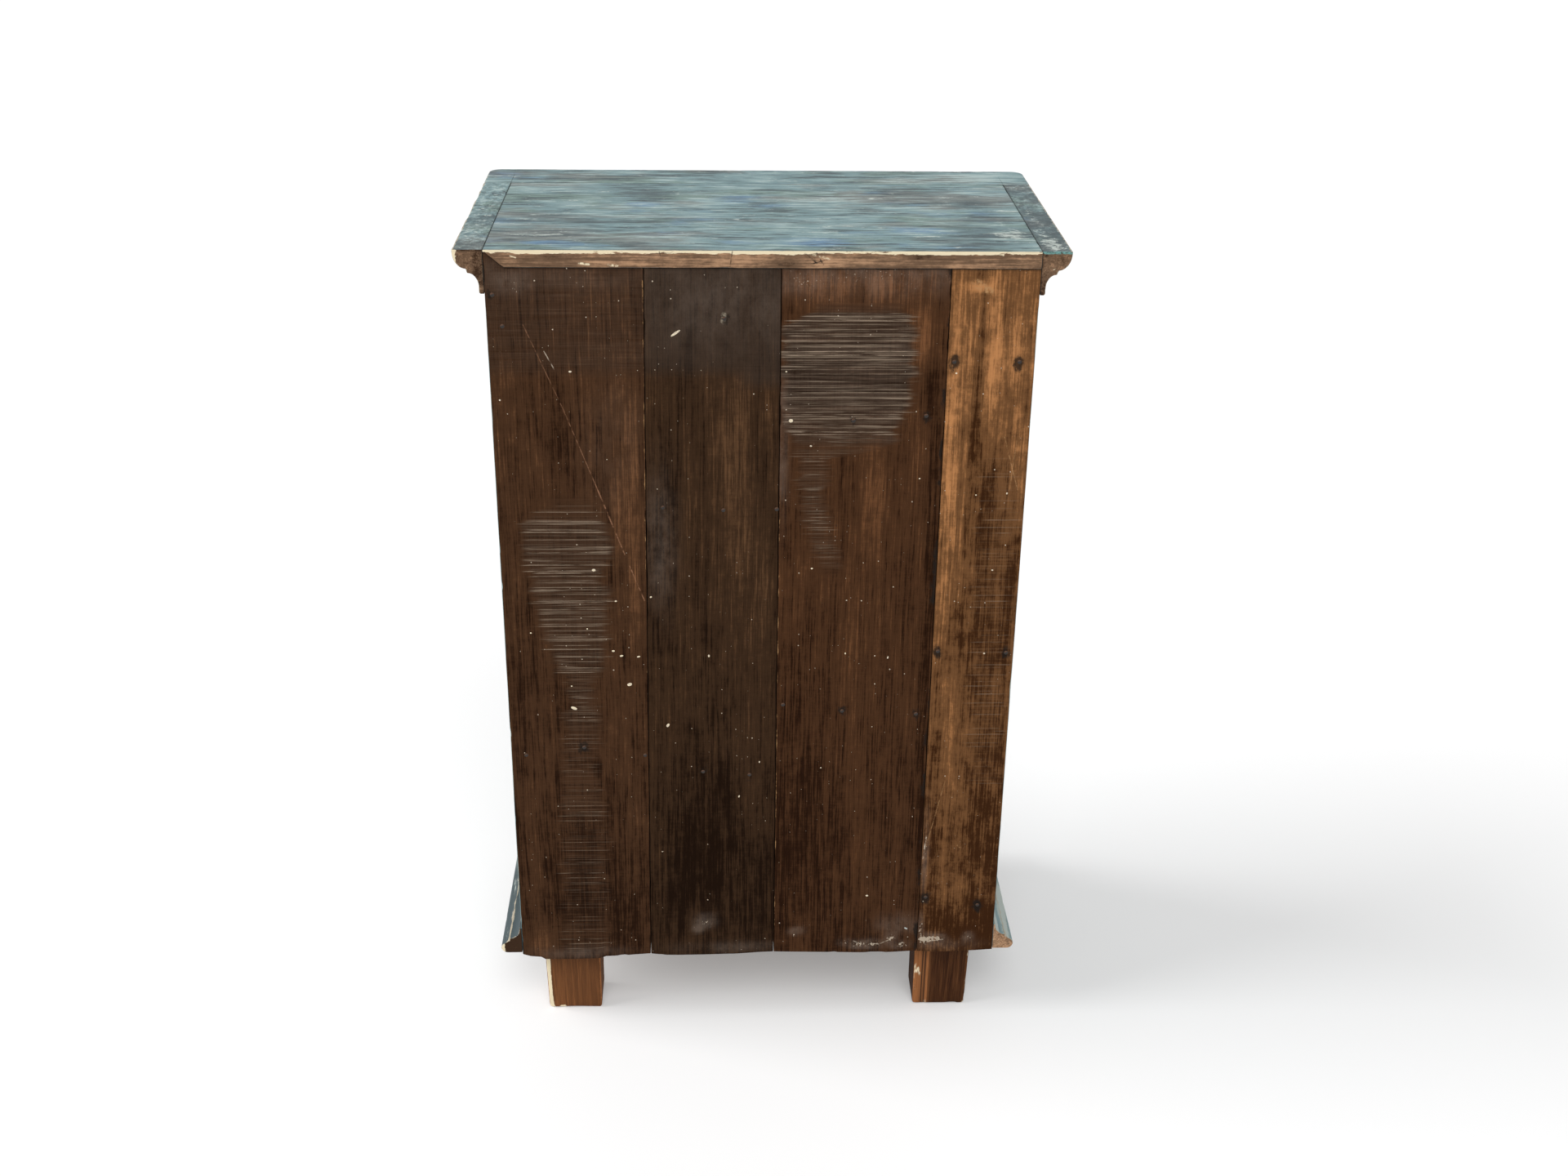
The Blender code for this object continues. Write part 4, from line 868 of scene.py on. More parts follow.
def plank(number, sizes):
    """One back plank: worn box, leaning joint, uneven lower end, pits round nails and sawn relief."""
    node = f"back_plank_{number}"
    low, high = bounds_of(node)
    low[0], high[0] = np.array(PLANK_SPANS[number]) / 1000
    low[0] += HALF_JOINT if number < 4 else 0
    high[0] -= HALF_JOINT if number > 1 else 0
    high[2] = bounds_of("back_plank_2")[1][2]
    low[2] = PLANK_FOOT
    nails = [nail for nail in NAILS if low[0] < nail[0] / 1000 < high[0]]
    across, upward = ([nail[axis] / 1000 + ROUND_NAIL for nail in nails] for axis in (0, 1))
    if number in SAWN:
        upward += [saw_rows(number)[0] + shift for shift in (-0.0008, 0, 0.0008)]
    upward += [np.arange(0.093, 0.138, 0.004), np.arange(0.850, 0.883, 0.004)]
    extra = (np.concatenate(across), (), np.concatenate(upward))
    surface = board(low, high, 2, 20 + number, sizes.plank_edge, PLANK_STEP, extra)
    x, _, z = surface.seat.T
    share_up = (z - PLANK_LOW) / PLANK_RUN
    back = ease(surface.normal[:, 1], 0.3, 0.9)
    points = surface.points
    pits = [(*nail[:2], 2.9, 2.9, 0.0007) for nail in nails]
    sink = 0.0002 + bumps(x, z, pits)
    marks, wear = surface.marks, surface.wear
    if number in SAWN:
        ridge, zone = sawn_marks(number, x, z)
        sink = sink + sizes.saw_depth * np.clip(zone * 1.4, 0, 1) * (1 - ridge)
        marks[:, 0] = ridge * back
        marks[:, 3] = zone * back * SAW_GREY[number]
        points[:, 2] += 0.0005 * noise(places(x * 9, z * 60, 0), 1, number) * zone
    points[:, 1] -= sink * back
    marks[:, 1] = back * bumps(x, z, [(*nail[:2], 7, 9, nail[2]) for nail in nails])
    # Tone: the listed lighter and darker places, and painted shade that darkens each plank toward its lower
    # end
    marks[:, 2] = 0.5 + back * (bumps(x, z, TONES[number]) + 0.06 - 0.26 * (1 - share_up))
    if number < 3:
        shaded = back * ease(z - 0.7805 - 0.09 * np.minimum(x - 0.11, 0), -0.0012, 0.0012)
        marks[:, 2] -= 0.05 * shaded
        marks[:, 3] = np.maximum(marks[:, 3], (0.35 if number == 1 else 0.55) * shaded)
    wear[:, 0] = back * bumps(x, z, HAZE[number])
    lean = 0.0035 * (1 - 2 * share_up)
    share = (x - low[0]) / (high[0] - low[0])
    if number == 1:
        points[:, 0] += lean * (1 - share)
        rise = np.clip((x - 0.247) / 0.017, 0, 1) * 0.0150
        points[:, 2] += rise * ease(z, high[2] - 0.03, high[2])
    if number == 2:
        points[:, 0] += lean * share
    drop = np.interp(points[:, 0], LOWER_ENDS[:, 0], LOWER_ENDS[:, 1]) - low[2]
    points[:, 2] += drop * (1 - ease(z, low[2], low[2] + 0.03))
    low_edge, high_edge = fade(x - low[0], 0.0022), fade(high[0] - x, 0.0022)
    if number == 1:
        wear[:, 2] = back * low_edge * (0.50 + 0.20 * ease(z, 0.45, 0.6))
        wear[:, 1] = ease(surface.normal[:, 0], 0.2, 0.7) * (z < PAINTED_TO)
    if number == 3:
        wear[:, 2] = back * high_edge * (0.35 + 0.35 * ease(0.72 - z, 0, 0.1))
    if number == 4:
        wear[:, 1] = ease(-surface.normal[:, 0], 0.2, 0.7) * (z < PAINTED_TO)
        wear[:, 2] = 0.2 * back * high_edge
    wear[:, 3] = 0.75 * (1 - back) * (1 - wear[:, 1])
    # Painted shadow: a dark line along the top 3 mm of the back, in the joint under the top board's back
    # edge
    wear[:, 3] = np.maximum(wear[:, 3], 0.6 * back * ease(z, high[2] - 0.003, high[2]))
    if number == 3:
        chipped = ease(noise(places(x, 0, z), 55, 8), -0.3, 0.4)
        marks[:, 1] += back * fade(x - low[0], 0.0045) * chipped * 0.8
    aged(node, surface, f"plank_{number}")


# Profiles of small turned parts: share of the radius, height in metres
NAIL_HEAD = ((0, 0.0005), (0.4, 0.00047), (0.75, 0.00035), (1, 0.0001), (0.95, -0.0006), (0, -0.0006))
PLATE_RIM = (
    (0, 0.0014), (0.45, 0.0015), (0.62, 0.0017), (0.70, 0.0022), (0.80, 0.0021), (0.88, 0.0013),
    (0.97, 0.0011), (1, 0.0006), (1, 0.0), (0, 0.0),
)


def back_nails(sizes):
    """Low round nail heads in their pits."""
    back_y = bounds_of("back_plank_2")[1][1]
    profile = [(sizes.nail_radius * out, up) for out, up in NAIL_HEAD]
    heads = [turned(profile, 14, stand(x / 1000, back_y - 0.0008, z / 1000, -90)) for x, z, _ in NAILS]
    piece("back_nail_heads", join(heads), "old_iron")


def back_drops():
    """Dried drops and splinters: flat ellipses with domed tops."""
    back_y = bounds_of("back_plank_2")[1][1]
    profile = [(0, 0.00012), (0.5, 0.0001), (0.85, 0.00004), (1, -0.0001), (0.9, -0.0003), (0, -0.0003)]
    drops = []
    for x, z, length, width, turn in DROPS:
        flat = Matrix.Diagonal((length / 1000, width / 1000, 1, 1))
        spin = Matrix.Rotation(math.radians(turn), 4, "Z")
        place = stand(x / 1000, back_y - 0.00014, z / 1000, -90)
        drops.append(turned(profile, 11, place @ spin @ flat))
    piece("back_drops", join(drops), "dried_paint")


# Top, mouldings and feet


def arc(centre, radii, start, end, steps=8):
    """Points on a stretch of an ellipse, start and end in degrees."""
    angle = np.radians(np.linspace(start, end, steps + 1))
    return np.stack([centre[0] + radii[0] * np.cos(angle), centre[1] + radii[1] * np.sin(angle)], axis=1)


# Sections as (outward, upward) in millimetres from the body's side and the underside, from the top edge down
CROWN_SECTION = np.concatenate([
    [(28.4, 42.7), (28.9, 42.3), (29, 41.6)],
    arc((17, 40.5), (12, 16.2), 0, -90, 10),
    arc((15.4, 6.7), (10.2, 13.5), 90, 180, 10),
    [(5.2, 1.0), (4.2, 0.0)],
]) / 1000
BASE_SECTION = np.concatenate([
    [(2.2, 32.0), (2.5, 31.5)],
    arc((13.8, 30.6), (11.3, 12.0), 180, 270, 9),
    [(13.8, 16.2), (14.3, 15.5)],
    arc((17.2, 6.3), (6.3, 6.3), 60, -90, 10),
]) / 1000
CROWN_REACH = 0.029
# Sharp corners of each section, by its number of points
CORNERS = {len(CROWN_SECTION): [1, 13, 14, 24], len(BASE_SECTION): [1, 11, 13]}
# Shares of the way from a section's outline inward, where a moulding's lines run
INWARD = np.array([0, 0.02, 0.05, 0.1, 0.2, 0.4, 0.6, 0.8, 0.94, 0.98, 1.0])
# Metres: how far off the body a moulding's inner face stands, and the height above which it may run on
INNER, RUN_ON_ABOVE = 0.0003, 0.0256


def moulded(section, path, reach, low_z, along, seed, depth=None):
    """A section carried along a path.

    The lattice has a share down the section, a share inward and a place along the path. A point
    is base(v) + out / reach * offset(v) across and low_z + up above, where out runs from the
    section's own to 0.3 mm. path rows are (place, base x, base y, offset x, offset y). Rows of
    the section above the top board's underside may run on inward by depth(v).
    """
    lengths = np.concatenate([[0], np.cumsum(np.linalg.norm(np.diff(section, axis=0), axis=1))])
    seat, faces = shell([lengths, INWARD, path[:, 0]])
    place, side = seat[:, 2], 1 - seat[:, 1]
    out, up = (np.interp(seat[:, 0], lengths, section[:, column]) for column in (0, 1))
    x, y, over_x, over_y = (np.interp(place, path[:, 0], path[:, column]) for column in (1, 2, 3, 4))
    gap = np.minimum(place, path[-1, 0] - place)
    shrink = 0.0006 * np.clip(1 - gap / 0.0012, 0, 1) ** 2
    chips = 0.0008 * ease(noise(places(out, up, place), 70, seed), 0.45, 0.9)
    run_on = 0 if depth is None else np.interp(place, path[:, 0], depth) * (up > RUN_ON_ABOVE)
    reached = (out - shrink - chips * side ** 3) * side + (INNER - run_on) * seat[:, 1]
    wave = 0.5 + 0.5 * noise(places(place, out, up), 30, seed + 1)
    height = low_z + up - 0.0001 * wave * (side + 0.2)
    points = places(x + over_x * reached / reach, y + over_y * reached / reach, height)
    surface = outward(Surface(points, faces, timber(points, points.min(0), points.max(0), along, seed)))
    sharp = section[CORNERS[len(section)]]
    corner = np.linalg.norm(places(reached, up)[:, None] - sharp, axis=2).min(axis=1)
    surface.wear[:, 0] = np.maximum(fade(corner, 0.0022), fade(gap, 0.0025) * (side > 0.9))
    surface.out, surface.up, surface.place, surface.side = reached, up, place, side
    return surface


def straight(start, end, offset, step=0.008):
    """A straight path with close lines at both ends."""
    start, end = np.array(start, float), np.array(end, float)
    length = np.linalg.norm(end - start)
    close = np.array([0, 0.0003, 0.0008, 0.0016, 0.003])
    middle = np.linspace(0.006, length - 0.006, int(length / step))
    place = np.concatenate([close, middle, length - close[::-1]])
    base = start + (end - start) * (place / length)[:, None]
    return np.column_stack([place, base, np.tile(np.array(offset, float), (len(place), 1))])


def side_crown(side, sign):
    """A crown moulding along one side, its end grain bare at the back."""
    node = f"crown_{side}"
    low, high = bounds_of(node)
    body = sign * (abs(low[0] + high[0]) / 2 + (high[0] - low[0]) / 2 - CROWN_REACH)
    path = straight((body, low[1]), (body, high[1]), (sign * CROWN_REACH, 0))
    surface = moulded(CROWN_SECTION, path, CROWN_REACH, low[2], 1, 31 + sign)
    wear, marks, out, up, place = surface.wear, surface.marks, surface.out, surface.up, surface.place
    length = high[1] - low[1]
    behind = ease(place, length - 0.0003, length - 0.0001)
    rim = behind * fade(1 - surface.side, 0.035) * (up < 0.030)
    wear[:, 1] = behind * (1 - rim)
    wear[:, 3] = 0.5 * fade(out, 0.0010) + 0.15 * fade(place, 0.0010)
    marks[:, 3] = 2.0 * rim * (sign > 0)
    top = up > 0.041
    surface.grain[top] = surface.grain[top][:, [1, 0, 2]] + [0.3, 0, 0]
    if sign > 0:
        wear[:, 2] = behind * ease(out, 0.024, 0.0265) * 0.9
        marks[:, 2] -= 0.22 * behind * ease(-out, -0.014, -0.004)
        marks[:, 2] -= 0.20 * top
        marks[:, 3] += top * bumps(place, out, [(150, 14, 60, 10, 0.3), (215, 20, 30, 9, 0.2)])
    else:
        wear[:, 2] = behind * bumps(out, up, [(13, 26, 3, 3, 0.5)])
        marks[:, 2] -= 0.30 * behind * ease(-up, -0.020, -0.012) + 0.40 * top
        pale = [(-40, 12, 30, 8, 0.8), (-14, 18, 16, 9, 0.9), (-150, 10, 50, 5, 0.4)]
        marks[:, 3] += (1 - behind) * bumps(place - length, out, pale)
    marks[:, 3] += 0.35 * fade(out - 0.028, 0.0015) * top
    aged(node, surface, "top_paint")


def front_board():
    """The top's front board: moulded on its front and both ends, with rounded corners in plan."""
    node = "top_front_board"
    low, high = bounds_of(node)
    half, front = high[0] - CROWN_REACH, low[1] + CROWN_REACH
    turn = np.concatenate([[(29, 0), (29, 8)], arc((16, 16), (13, 13), 0, 90, 8), [(8, 29), (0, 29)]]) / 1000
    right = np.column_stack([np.full((len(turn), 2), [half, front]), turn * [1, -1]])
    left = np.column_stack([np.full((len(turn), 2), [-half, front]), turn[::-1] * [-1, -1]])
    ends = straight((half, high[1]), (half, front), (CROWN_REACH, 0))[:, 1:]
    along = straight((half - 0.00002, front), (-half + 0.00002, front), (0, -CROWN_REACH))[:, 1:]
    rows = np.concatenate([ends[:-1], right, along, left, (ends * [-1, 1, -1, 1])[::-1][1:]])
    step = np.linalg.norm(np.diff(rows[:, :2] + rows[:, 2:], axis=0), axis=1)
    place = np.concatenate([[0], np.cumsum(np.maximum(step, 0.00002))])
    first, last = len(ends) - 1 + len(right), len(ends) - 1 + len(right) + len(along)
    depth = np.zeros(len(rows))
    depth[first:last] = high[1] - front
    surface = moulded(CROWN_SECTION, np.column_stack([place, rows]), CROWN_REACH, low[2], 0, 35, depth)
    wear, marks, up = surface.wear, surface.marks, surface.up
    rear = fade(high[1] - surface.points[:, 1], 0.0012)
    wear[:, 3] = 0.10 * rear
    wear[:, 0] *= 0.7 * (1 - rear)
    end = (np.abs(surface.points[:, 0]) > half + 0.012) & (up < 0.0426)
    surface.grain[end] = surface.grain[end][:, [1, 0, 2]] + [0.3, 0, 0]
    marks[:, 2] += 0.04
    marks[:, 3] = 0.45 * fade(surface.out - 0.028, 0.0018) * (up > 0.041)
    aged(node, surface, "top_paint")


def top_panel(sizes):
    """The top's middle board. Its raw back edge shows, and a slanted cut takes its back corner at +X."""
    node = "top_panel"
    low, high = bounds_of(node)
    cut_reach = 0.0185
    cut = [high[0] - 0.0195 + shift for shift in (-0.0003, 0, 0.004, 0.008, 0.012, 0.0165, 0.0175)]
    extra = (cut, [high[1] - cut_reach - shift for shift in (0.0002, -0.0002)], ())
    surface = board(low, high, 0, 37, sizes.board_edge * 0.6, 0.004, extra)
    points, seat, normal = surface.points, surface.seat, surface.normal
    wear, marks = surface.wear, surface.marks
    slant = np.clip((seat[:, 0] - (high[0] - 0.0193)) / 0.0173, 0, 1) * (high[2] - 0.0021 - low[2])
    slant = slant * (seat[:, 1] > high[1] - cut_reach)
    points[:, 2] = np.maximum(points[:, 2], low[2] + slant)
    behind = ease(normal[:, 1], 0.6, 0.95)
    x, y, z = seat.T
    top = ease(normal[:, 2], 0.3, 0.9)
    wear[:, 1] = behind
    arris = ease(z, high[2] - 0.0044, high[2] - 0.0016) * ease(normal[:, 1], 0.15, 0.5)
    wear[:, 2] = arris * (0.76 + 0.42 * noise(places(x, 0, 0), 22, 5))
    wear[:, 0] *= behind
    seam = fade(high[0] - np.abs(x), 0.0007) + 0.15 * fade(y - low[1], 0.0007)
    # lip is a painted shadow line on the top just inside its back edge; seam is grime in the joints with the
    # crowns and the front board
    lip = 0.5 * fade(y - high[1] + 0.0012, 0.0010)
    wear[:, 3] = top * np.clip(0.7 * seam + lip, 0, 1)
    marks[:, 2] += behind * (0.20 + bumps(x, z, RAW_TONES)) + top * bumps(x, y, TOP_TONES)
    marks[:, 3] = top * bumps(x, y, TOP_WHITE)
    marks[:, 1] = top * bumps(x, y, TOP_SPOTS)
    marks[:, 0] = top * bumps(x, y, TOP_BLUE)
    aged(node, surface, "top_paint")


# On the top: across (X), towards the back (Y), half sizes in millimetres, amount
TOP_WHITE = (
    (-243, 105, 14, 22, 0.9), (-258, 125, 8, 14, 0.9), (-236, 60, 10, 12, 0.6), (-168, 112, 22, 10, 0.6),
    (-232, 10, 26, 8, 0.5), (22, 49, 10, 5, 1.0), (225, 45, 20, 14, 0.7), (190, -25, 40, 6, 0.4),
    (-90, -40, 60, 6, 0.5), (-20, 122, 30, 8, 0.5), (215, 112, 30, 8, 0.4),
)
TOP_TONES = (
    (150, 62, 60, 7, -0.30), (-20, 40, 70, 8, -0.30), (110, 5, 40, 6, -0.20), (-110, -10, 80, 12, -0.22),
    (-190, -30, 60, 14, -0.24), (60, -60, 120, 9, -0.12), (180, 130, 60, 7, -0.16),
    (-110, 60, 50, 8, -0.16), (-240, -60, 30, 40, -0.18), (180, 100, 70, 10, 0.16), (60, 135, 90, 10, 0.14),
    (-140, 130, 40, 8, 0.16), (30, -20, 50, 8, 0.10),
)
TOP_BLUE = (
    (122, -14, 22, 12, 0.32), (-63, 139, 34, 18, 0.34), (80, 62, 40, 16, 0.24), (-170, 96, 50, 18, 0.20),
    (20, -48, 40, 10, 0.20), (-10, -5, 34, 10, 0.22), (200, 140, 40, 10, 0.18), (-230, 40, 30, 30, 0.14),
)
TOP_SPOTS = (
    (-183, 151, 3, 4, 0.8), (-212, 86, 3.5, 3.5, 0.9), (90, 60, 2.5, 2.5, 0.4), (-40, -20, 2, 2, 0.4),
)
# On the raw back edge: across (X), up (Z)
RAW_TONES = (
    (40, 890, 40, 5, 0.16), (-20, 886, 12, 3, -0.4), (70, 892, 12, 6, -0.2), (-150, 890, 30, 5, -0.08),
    (-58, 889, 10, 6, 0.25), (130, 893, 30, 4, 0.12), (200, 889, 20, 5, -0.1), (-230, 892, 20, 5, -0.15),
    (0, 896, 8, 3, 0.3),
)
# Strokes on the top and its raw edge in metres: start, end, width, strength, colour
TOP_STROKES = (
    ((-0.0384, 0.1695, 0.8985), (-0.0503, 0.1695, 0.8882), 0.0011, 0.9, "soot"),
    ((-0.0501, 0.1695, 0.8978), (-0.0566, 0.1695, 0.8867), 0.0011, 0.9, "soot"),
    ((-0.0420, 0.1695, 0.8975), (-0.0620, 0.1695, 0.8925), 0.0016, 0.9, "cream"),
    ((-0.0600, 0.1695, 0.8914), (-0.0425, 0.1695, 0.8866), 0.0010, 0.8, "soot"),
    ((-0.0300, 0.1695, 0.8880), (-0.0150, 0.1695, 0.8865), 0.0016, 0.8, "soot"),
    ((0.0300, 0.1695, 0.8990), (0.0320, 0.1695, 0.8850), 0.0009, 0.8, "soot"),
    ((0.0990, 0.1695, 0.8985), (0.0960, 0.1695, 0.8855), 0.0009, 0.7, "soot"),
    ((0.1752, 0.1695, 0.8874), (0.1660, 0.1695, 0.8862), 0.0016, 1.0, "cream"),
    ((0.1482, 0.1695, 0.8858), (0.1390, 0.1695, 0.8850), 0.0016, 1.0, "cream"),
    ((0.2400, 0.1695, 0.8940), (0.2350, 0.1695, 0.8925), 0.0010, 0.9, "cream"),
    ((0.2937, 0.1139, 0.9000), (0.2740, 0.0789, 0.9000), 0.0016, 0.5, "chalk"),
    ((-0.2665, 0.1690, 0.8990), (-0.2940, 0.1690, 0.8990), 0.0022, 0.9, "turquoise"),
    ((-0.2300, 0.1100, 0.9000), (-0.2620, 0.1250, 0.9000), 0.0020, 0.8, "chalk"),
    ((-0.2450, 0.0800, 0.9000), (-0.2600, 0.1000, 0.9000), 0.0016, 0.7, "chalk"),
)


def base_moulding(name, path, mitres, along, seed, back_end=None):
    """A base moulding, mitred where it meets the next one."""
    node = f"base_moulding_{name}"
    surface = moulded(BASE_SECTION, path, 1.0, bounds_of(node)[0][2], along, seed)
    wear, marks, out, place = surface.wear, surface.marks, surface.out, surface.place
    for end, direction in mitres:
        gap = np.abs(place - end)
        surface.points[:, along] += direction * out * np.clip(1 - gap / 0.05, 0, 1)
        wear[:, 3] = np.maximum(wear[:, 3], 0.6 * fade(gap, 0.0009))
    if back_end is not None:
        behind = ease(place, back_end - 0.0003, back_end - 0.0001)
        wear[:, 1] = behind
        honey = behind * ease(out, 0.018, 0.021) if seed > 42 else behind * 0.25
        wear[:, 2] = 0.85 * honey
    rear = ease(place, 0.10, 0.24) if back_end is not None else 0
    mottled = noise(surface.grain, (24, 160, 160), 6)
    # Painted shade and painted light: toward its back end the right (+X) moulding is darkened and the left
    # (-X) one lightened
    tones = {"left": 0.10 + 0.25 * rear, "right": 0.05 - rear * (1.10 + 0.35 * mottled), "front": 0.05}
    marks[:, 2] += tones[name]
    streaks = {"left": rear * (1.0 + 2.2 * mottled), "right": 0.5 * rear * mottled, "front": 0}
    marks[:, 3] = 0.25 * fade(out - 0.021, 0.004) + streaks[name]
    aged(node, surface, "old_paint")


def base_mouldings():
    """The base mouldings of both sides and the front."""
    body_low, body_high = bounds_of("front_stile_left")[0], bounds_of("back_plank_1")[1]
    half, front, back = -body_low[0], body_low[1] + 0.00015, body_high[1]
    for side, sign in SIDES:
        path = straight((sign * half, front), (sign * half, back), (sign, 0))
        base_moulding(side, path, ((0, -1),), 1, 42 + sign, path[-1, 0])
    path = straight((-half, front - 0.00015), (half, front - 0.00015), (0, -1))
    base_moulding("front", path, ((0, -1), (path[-1, 0], 1)), 0, 45)


def foot(name):
    """A block foot that narrows a little downward on its outer side, with worn corners."""
    node = f"foot_{name}"
    low, high = bounds_of(node)
    sign = 1 if name.endswith("right") else -1
    inner_x = low[0] if sign > 0 else high[0]
    grooves = (high[0] - 0.0103, high[0] - 0.0136)
    beside = (-0.0009, -0.0004, 0, 0.0004, 0.0009)
    extra = ([groove + shift for groove in grooves for shift in beside], (), ())
    surface = board(low, high, 2, 50 + len(name) + sign, 0.0020, 0.0035, extra)
    points, (x, _, z) = surface.points, surface.seat.T
    wear, marks = surface.wear, surface.marks
    share = np.abs(x - inner_x) / (high[0] - low[0])
    points[:, 0] -= sign * 0.0030 * share * (1 - z / high[2])
    round_foot = np.clip(1 - z / 0.006, 0, 1) ** 2
    middle = (low + high) / 2
    points[:, :2] += (middle[:2] - points[:, :2]) * (0.07 * round_foot)[:, None]
    behind = ease(surface.normal[:, 1], 0.3, 0.9)
    if sign > 0:
        marks[:, 2] = 0.66
        wear[:, 2] = behind * fade(high[0] - 0.0025 - x, 0.0028)
        wear[:, 2] += 0.8 * behind * bumps(x, z, [(228, 2, 6, 3, 1), (192, 1.5, 4, 2, 1)])
    else:
        strip = behind * ease(x, high[0] - 0.0199, high[0] - 0.0188)
        groove = sum(fade(x - place, 0.0009) for place in grooves)
        marks[:, 2] = 0.20 + 0.84 * strip
        points[:, 1] -= 0.0008 * strip * groove
        wear[:, 3] = 0.95 * strip * np.clip(groove, 0, 1)
        wear[:, 2] = 0.40 * behind * fade(x - low[0] - 0.001, 0.0015) + 0.36 * strip
    # Darker on down-facing faces: grime from the floor, with painted shade under the foot
    wear[:, 3] = np.maximum(wear[:, 3], 0.5 * ease(-surface.normal[:, 2], 0.2, 0.8))
    aged(node, surface, "foot_brown")


def dowel(name):
    """The dowel that holds a foot to the bottom board."""
    node = f"foot_dowel_{name}"
    low, high = bounds_of(node)
    middle, radius, half = (low + high) / 2, (high[0] - low[0]) / 2, (high[2] - low[2]) / 2
    bevel = 0.0006
    profile = mirrored([(0, half), (radius - bevel, half), (radius, half - bevel)])
    surface = turned(profile, 20, Matrix.Translation(middle))
    surface.grain = surface.grain[:, ::-1]
    piece(f"{node}_turned", surface, "inside_timber", node)


# Carcass, doors and ironwork


def plain_board(node, along, finish, wear, bare=(), tone=0.0, extra=NO_LINES, change=None):
    """A board that fills its CAD node's box. bare lists the (axis, end) faces that were never painted."""
    low, high = bounds_of(node)
    surface = board(low, high, along, sum(map(ord, node)) % 89, wear, 0.008, extra)
    for axis, end in bare:
        facing = surface.normal[:, axis] * (1 if end else -1)
        surface.wear[:, 1] = np.maximum(surface.wear[:, 1], ease(facing, 0.5, 0.9))
    surface.marks[:, 2] += tone
    if change:
        change(surface, low, high)
    aged(node, surface, finish)


def painted_board(node, along, sizes, bare=(1, 1), extra=NO_LINES, change=None):
    """A board painted on all faces but one, which is the one inside the cabinet."""
    plain_board(node, along, "old_paint", sizes.board_edge, [bare], 0.05, extra, change)


def inner_boards(sizes, along, *nodes):
    """Boards that were never painted."""
    for node in nodes:
        plain_board(node, along, "inside_timber", sizes.board_edge)


def hinge_places():
    """(side, sign, level, centre of the pin, half its length) of each hinge."""
    for side, sign in SIDES:
        for level in ("lower", "upper"):
            low, high = bounds_of(f"hinge_{side}_{level}_pin")
            yield side, sign, level, (low + high) / 2, (high[2] - low[2]) / 2


def stile_with_recesses(node, sizes, sign, toward_frame):
    """A stile whose hinge edge is let in for the leaves."""
    low, high = bounds_of(node)
    face = low[0] if (sign > 0) == toward_frame else high[0]
    direction = 1 if face == low[0] else -1
    heights = [centre[2] for side, _, _, centre, _ in hinge_places() if side in node]
    depth, half, deep, tight = 0.0019, 0.0253, 0.0143, 0.00005
    ends = [height + end * half for height in heights for end in (-1, 1)]
    lines_z = [end + shift for end in ends for shift in (-tight, tight)]
    lines_y = [low[1] + deep + shift for shift in (-tight, tight)]
    lines_x = [face + direction * (depth + shift) for shift in (0, tight)]

    def let_in(surface, low, high):
        near = np.min([np.abs(surface.seat[:, 2] - height) for height in heights], axis=0) < half
        near &= surface.seat[:, 1] < low[1] + deep
        limit = face + direction * depth
        hold = np.maximum if direction > 0 else np.minimum
        surface.points[near, 0] = hold(surface.points[near, 0], limit)
        surface.wear[near & (np.abs(surface.seat[:, 0] - face) < depth), 1] = 1

    painted_board(node, 2, sizes, extra=(lines_x, lines_y, lines_z), change=let_in)


def carcass(sizes):
    """Side panels, bottom board and the rail behind the planks' top ends."""
    for side, sign in SIDES:
        painted_board(f"side_panel_{side}", 2, sizes, (0, 0 if sign > 0 else 1))
    inner_boards(sizes, 0, "bottom_board", "back_rail_top")


def face_frame(sizes):
    """Two stiles let in for the hinges and two rails between them."""
    for side, sign in SIDES:
        stile_with_recesses(f"front_stile_{side}", sizes, sign, True)
    for level in ("top", "bottom"):
        painted_board(f"front_rail_{level}", 0, sizes)


def inside(sizes):
    """The shelf on its two cleats and the strip that the doors close against."""
    inner_boards(sizes, 0, "shelf", "door_stop")
    inner_boards(sizes, 1, "shelf_cleat_left", "shelf_cleat_right")


def door_panel(side, sizes):
    """A raised panel: its thickness grows by the raise over the slope, measured in from its edges."""
    node = f"door_{side}_panel"
    low, high = bounds_of(node)
    start = (high[0] - low[0] - panel_opening(side)) / 2 + sizes.panel_margin
    turns = [start, start + 0.0004, start + sizes.panel_slope - 0.0004, start + sizes.panel_slope]
    lines_x, lines_z = (
        [low[axis] + turn for turn in turns] + [high[axis] - turn for turn in turns] for axis in (0, 2)
    )

    def raise_field(surface, low, high):
        gap = np.minimum(surface.seat - low, high - surface.seat)
        edge = np.minimum(gap[:, 0], gap[:, 2])
        grown = np.clip((edge - start) / sizes.panel_slope, 0, 1)
        full = high[1] - low[1]
        thin = 1 - sizes.panel_raise * (1 - grown) / full
        surface.points[:, 1] = high[1] - (high[1] - surface.points[:, 1]) * thin
        front = ease(-surface.normal[:, 1], 0.3, 0.9)
        arris = fade(edge - start - sizes.panel_slope, 0.0016)
        surface.wear[:, 0] = front * arris * 0.7
        hidden = start - sizes.panel_margin
        surface.wear[:, 3] = front * 0.7 * fade(edge - hidden, 0.0016)
        # Painted light and shade: the raised field is lightened and its slope and margin darkened, so that
        # the panel reads as raised
        raised = ease(edge, start + sizes.panel_slope - 0.001, start + sizes.panel_slope + 0.002)
        surface.marks[:, 2] += front * (0.16 * raised - 0.14)

    plain_board(node, 2, "old_paint", 0.0006, [(1, 1)], 0.02, (lines_x, (), lines_z), raise_field)


def panel_opening(side):
    """The clear width between a door's stiles."""
    stiles = [bounds_of(f"door_{side}_{kind}_stile") for kind in ("hinge", "meeting")]
    low, high = min(stiles, key=lambda pair: pair[0][0]), max(stiles, key=lambda pair: pair[0][0])
    return high[0][0] - low[1][0]


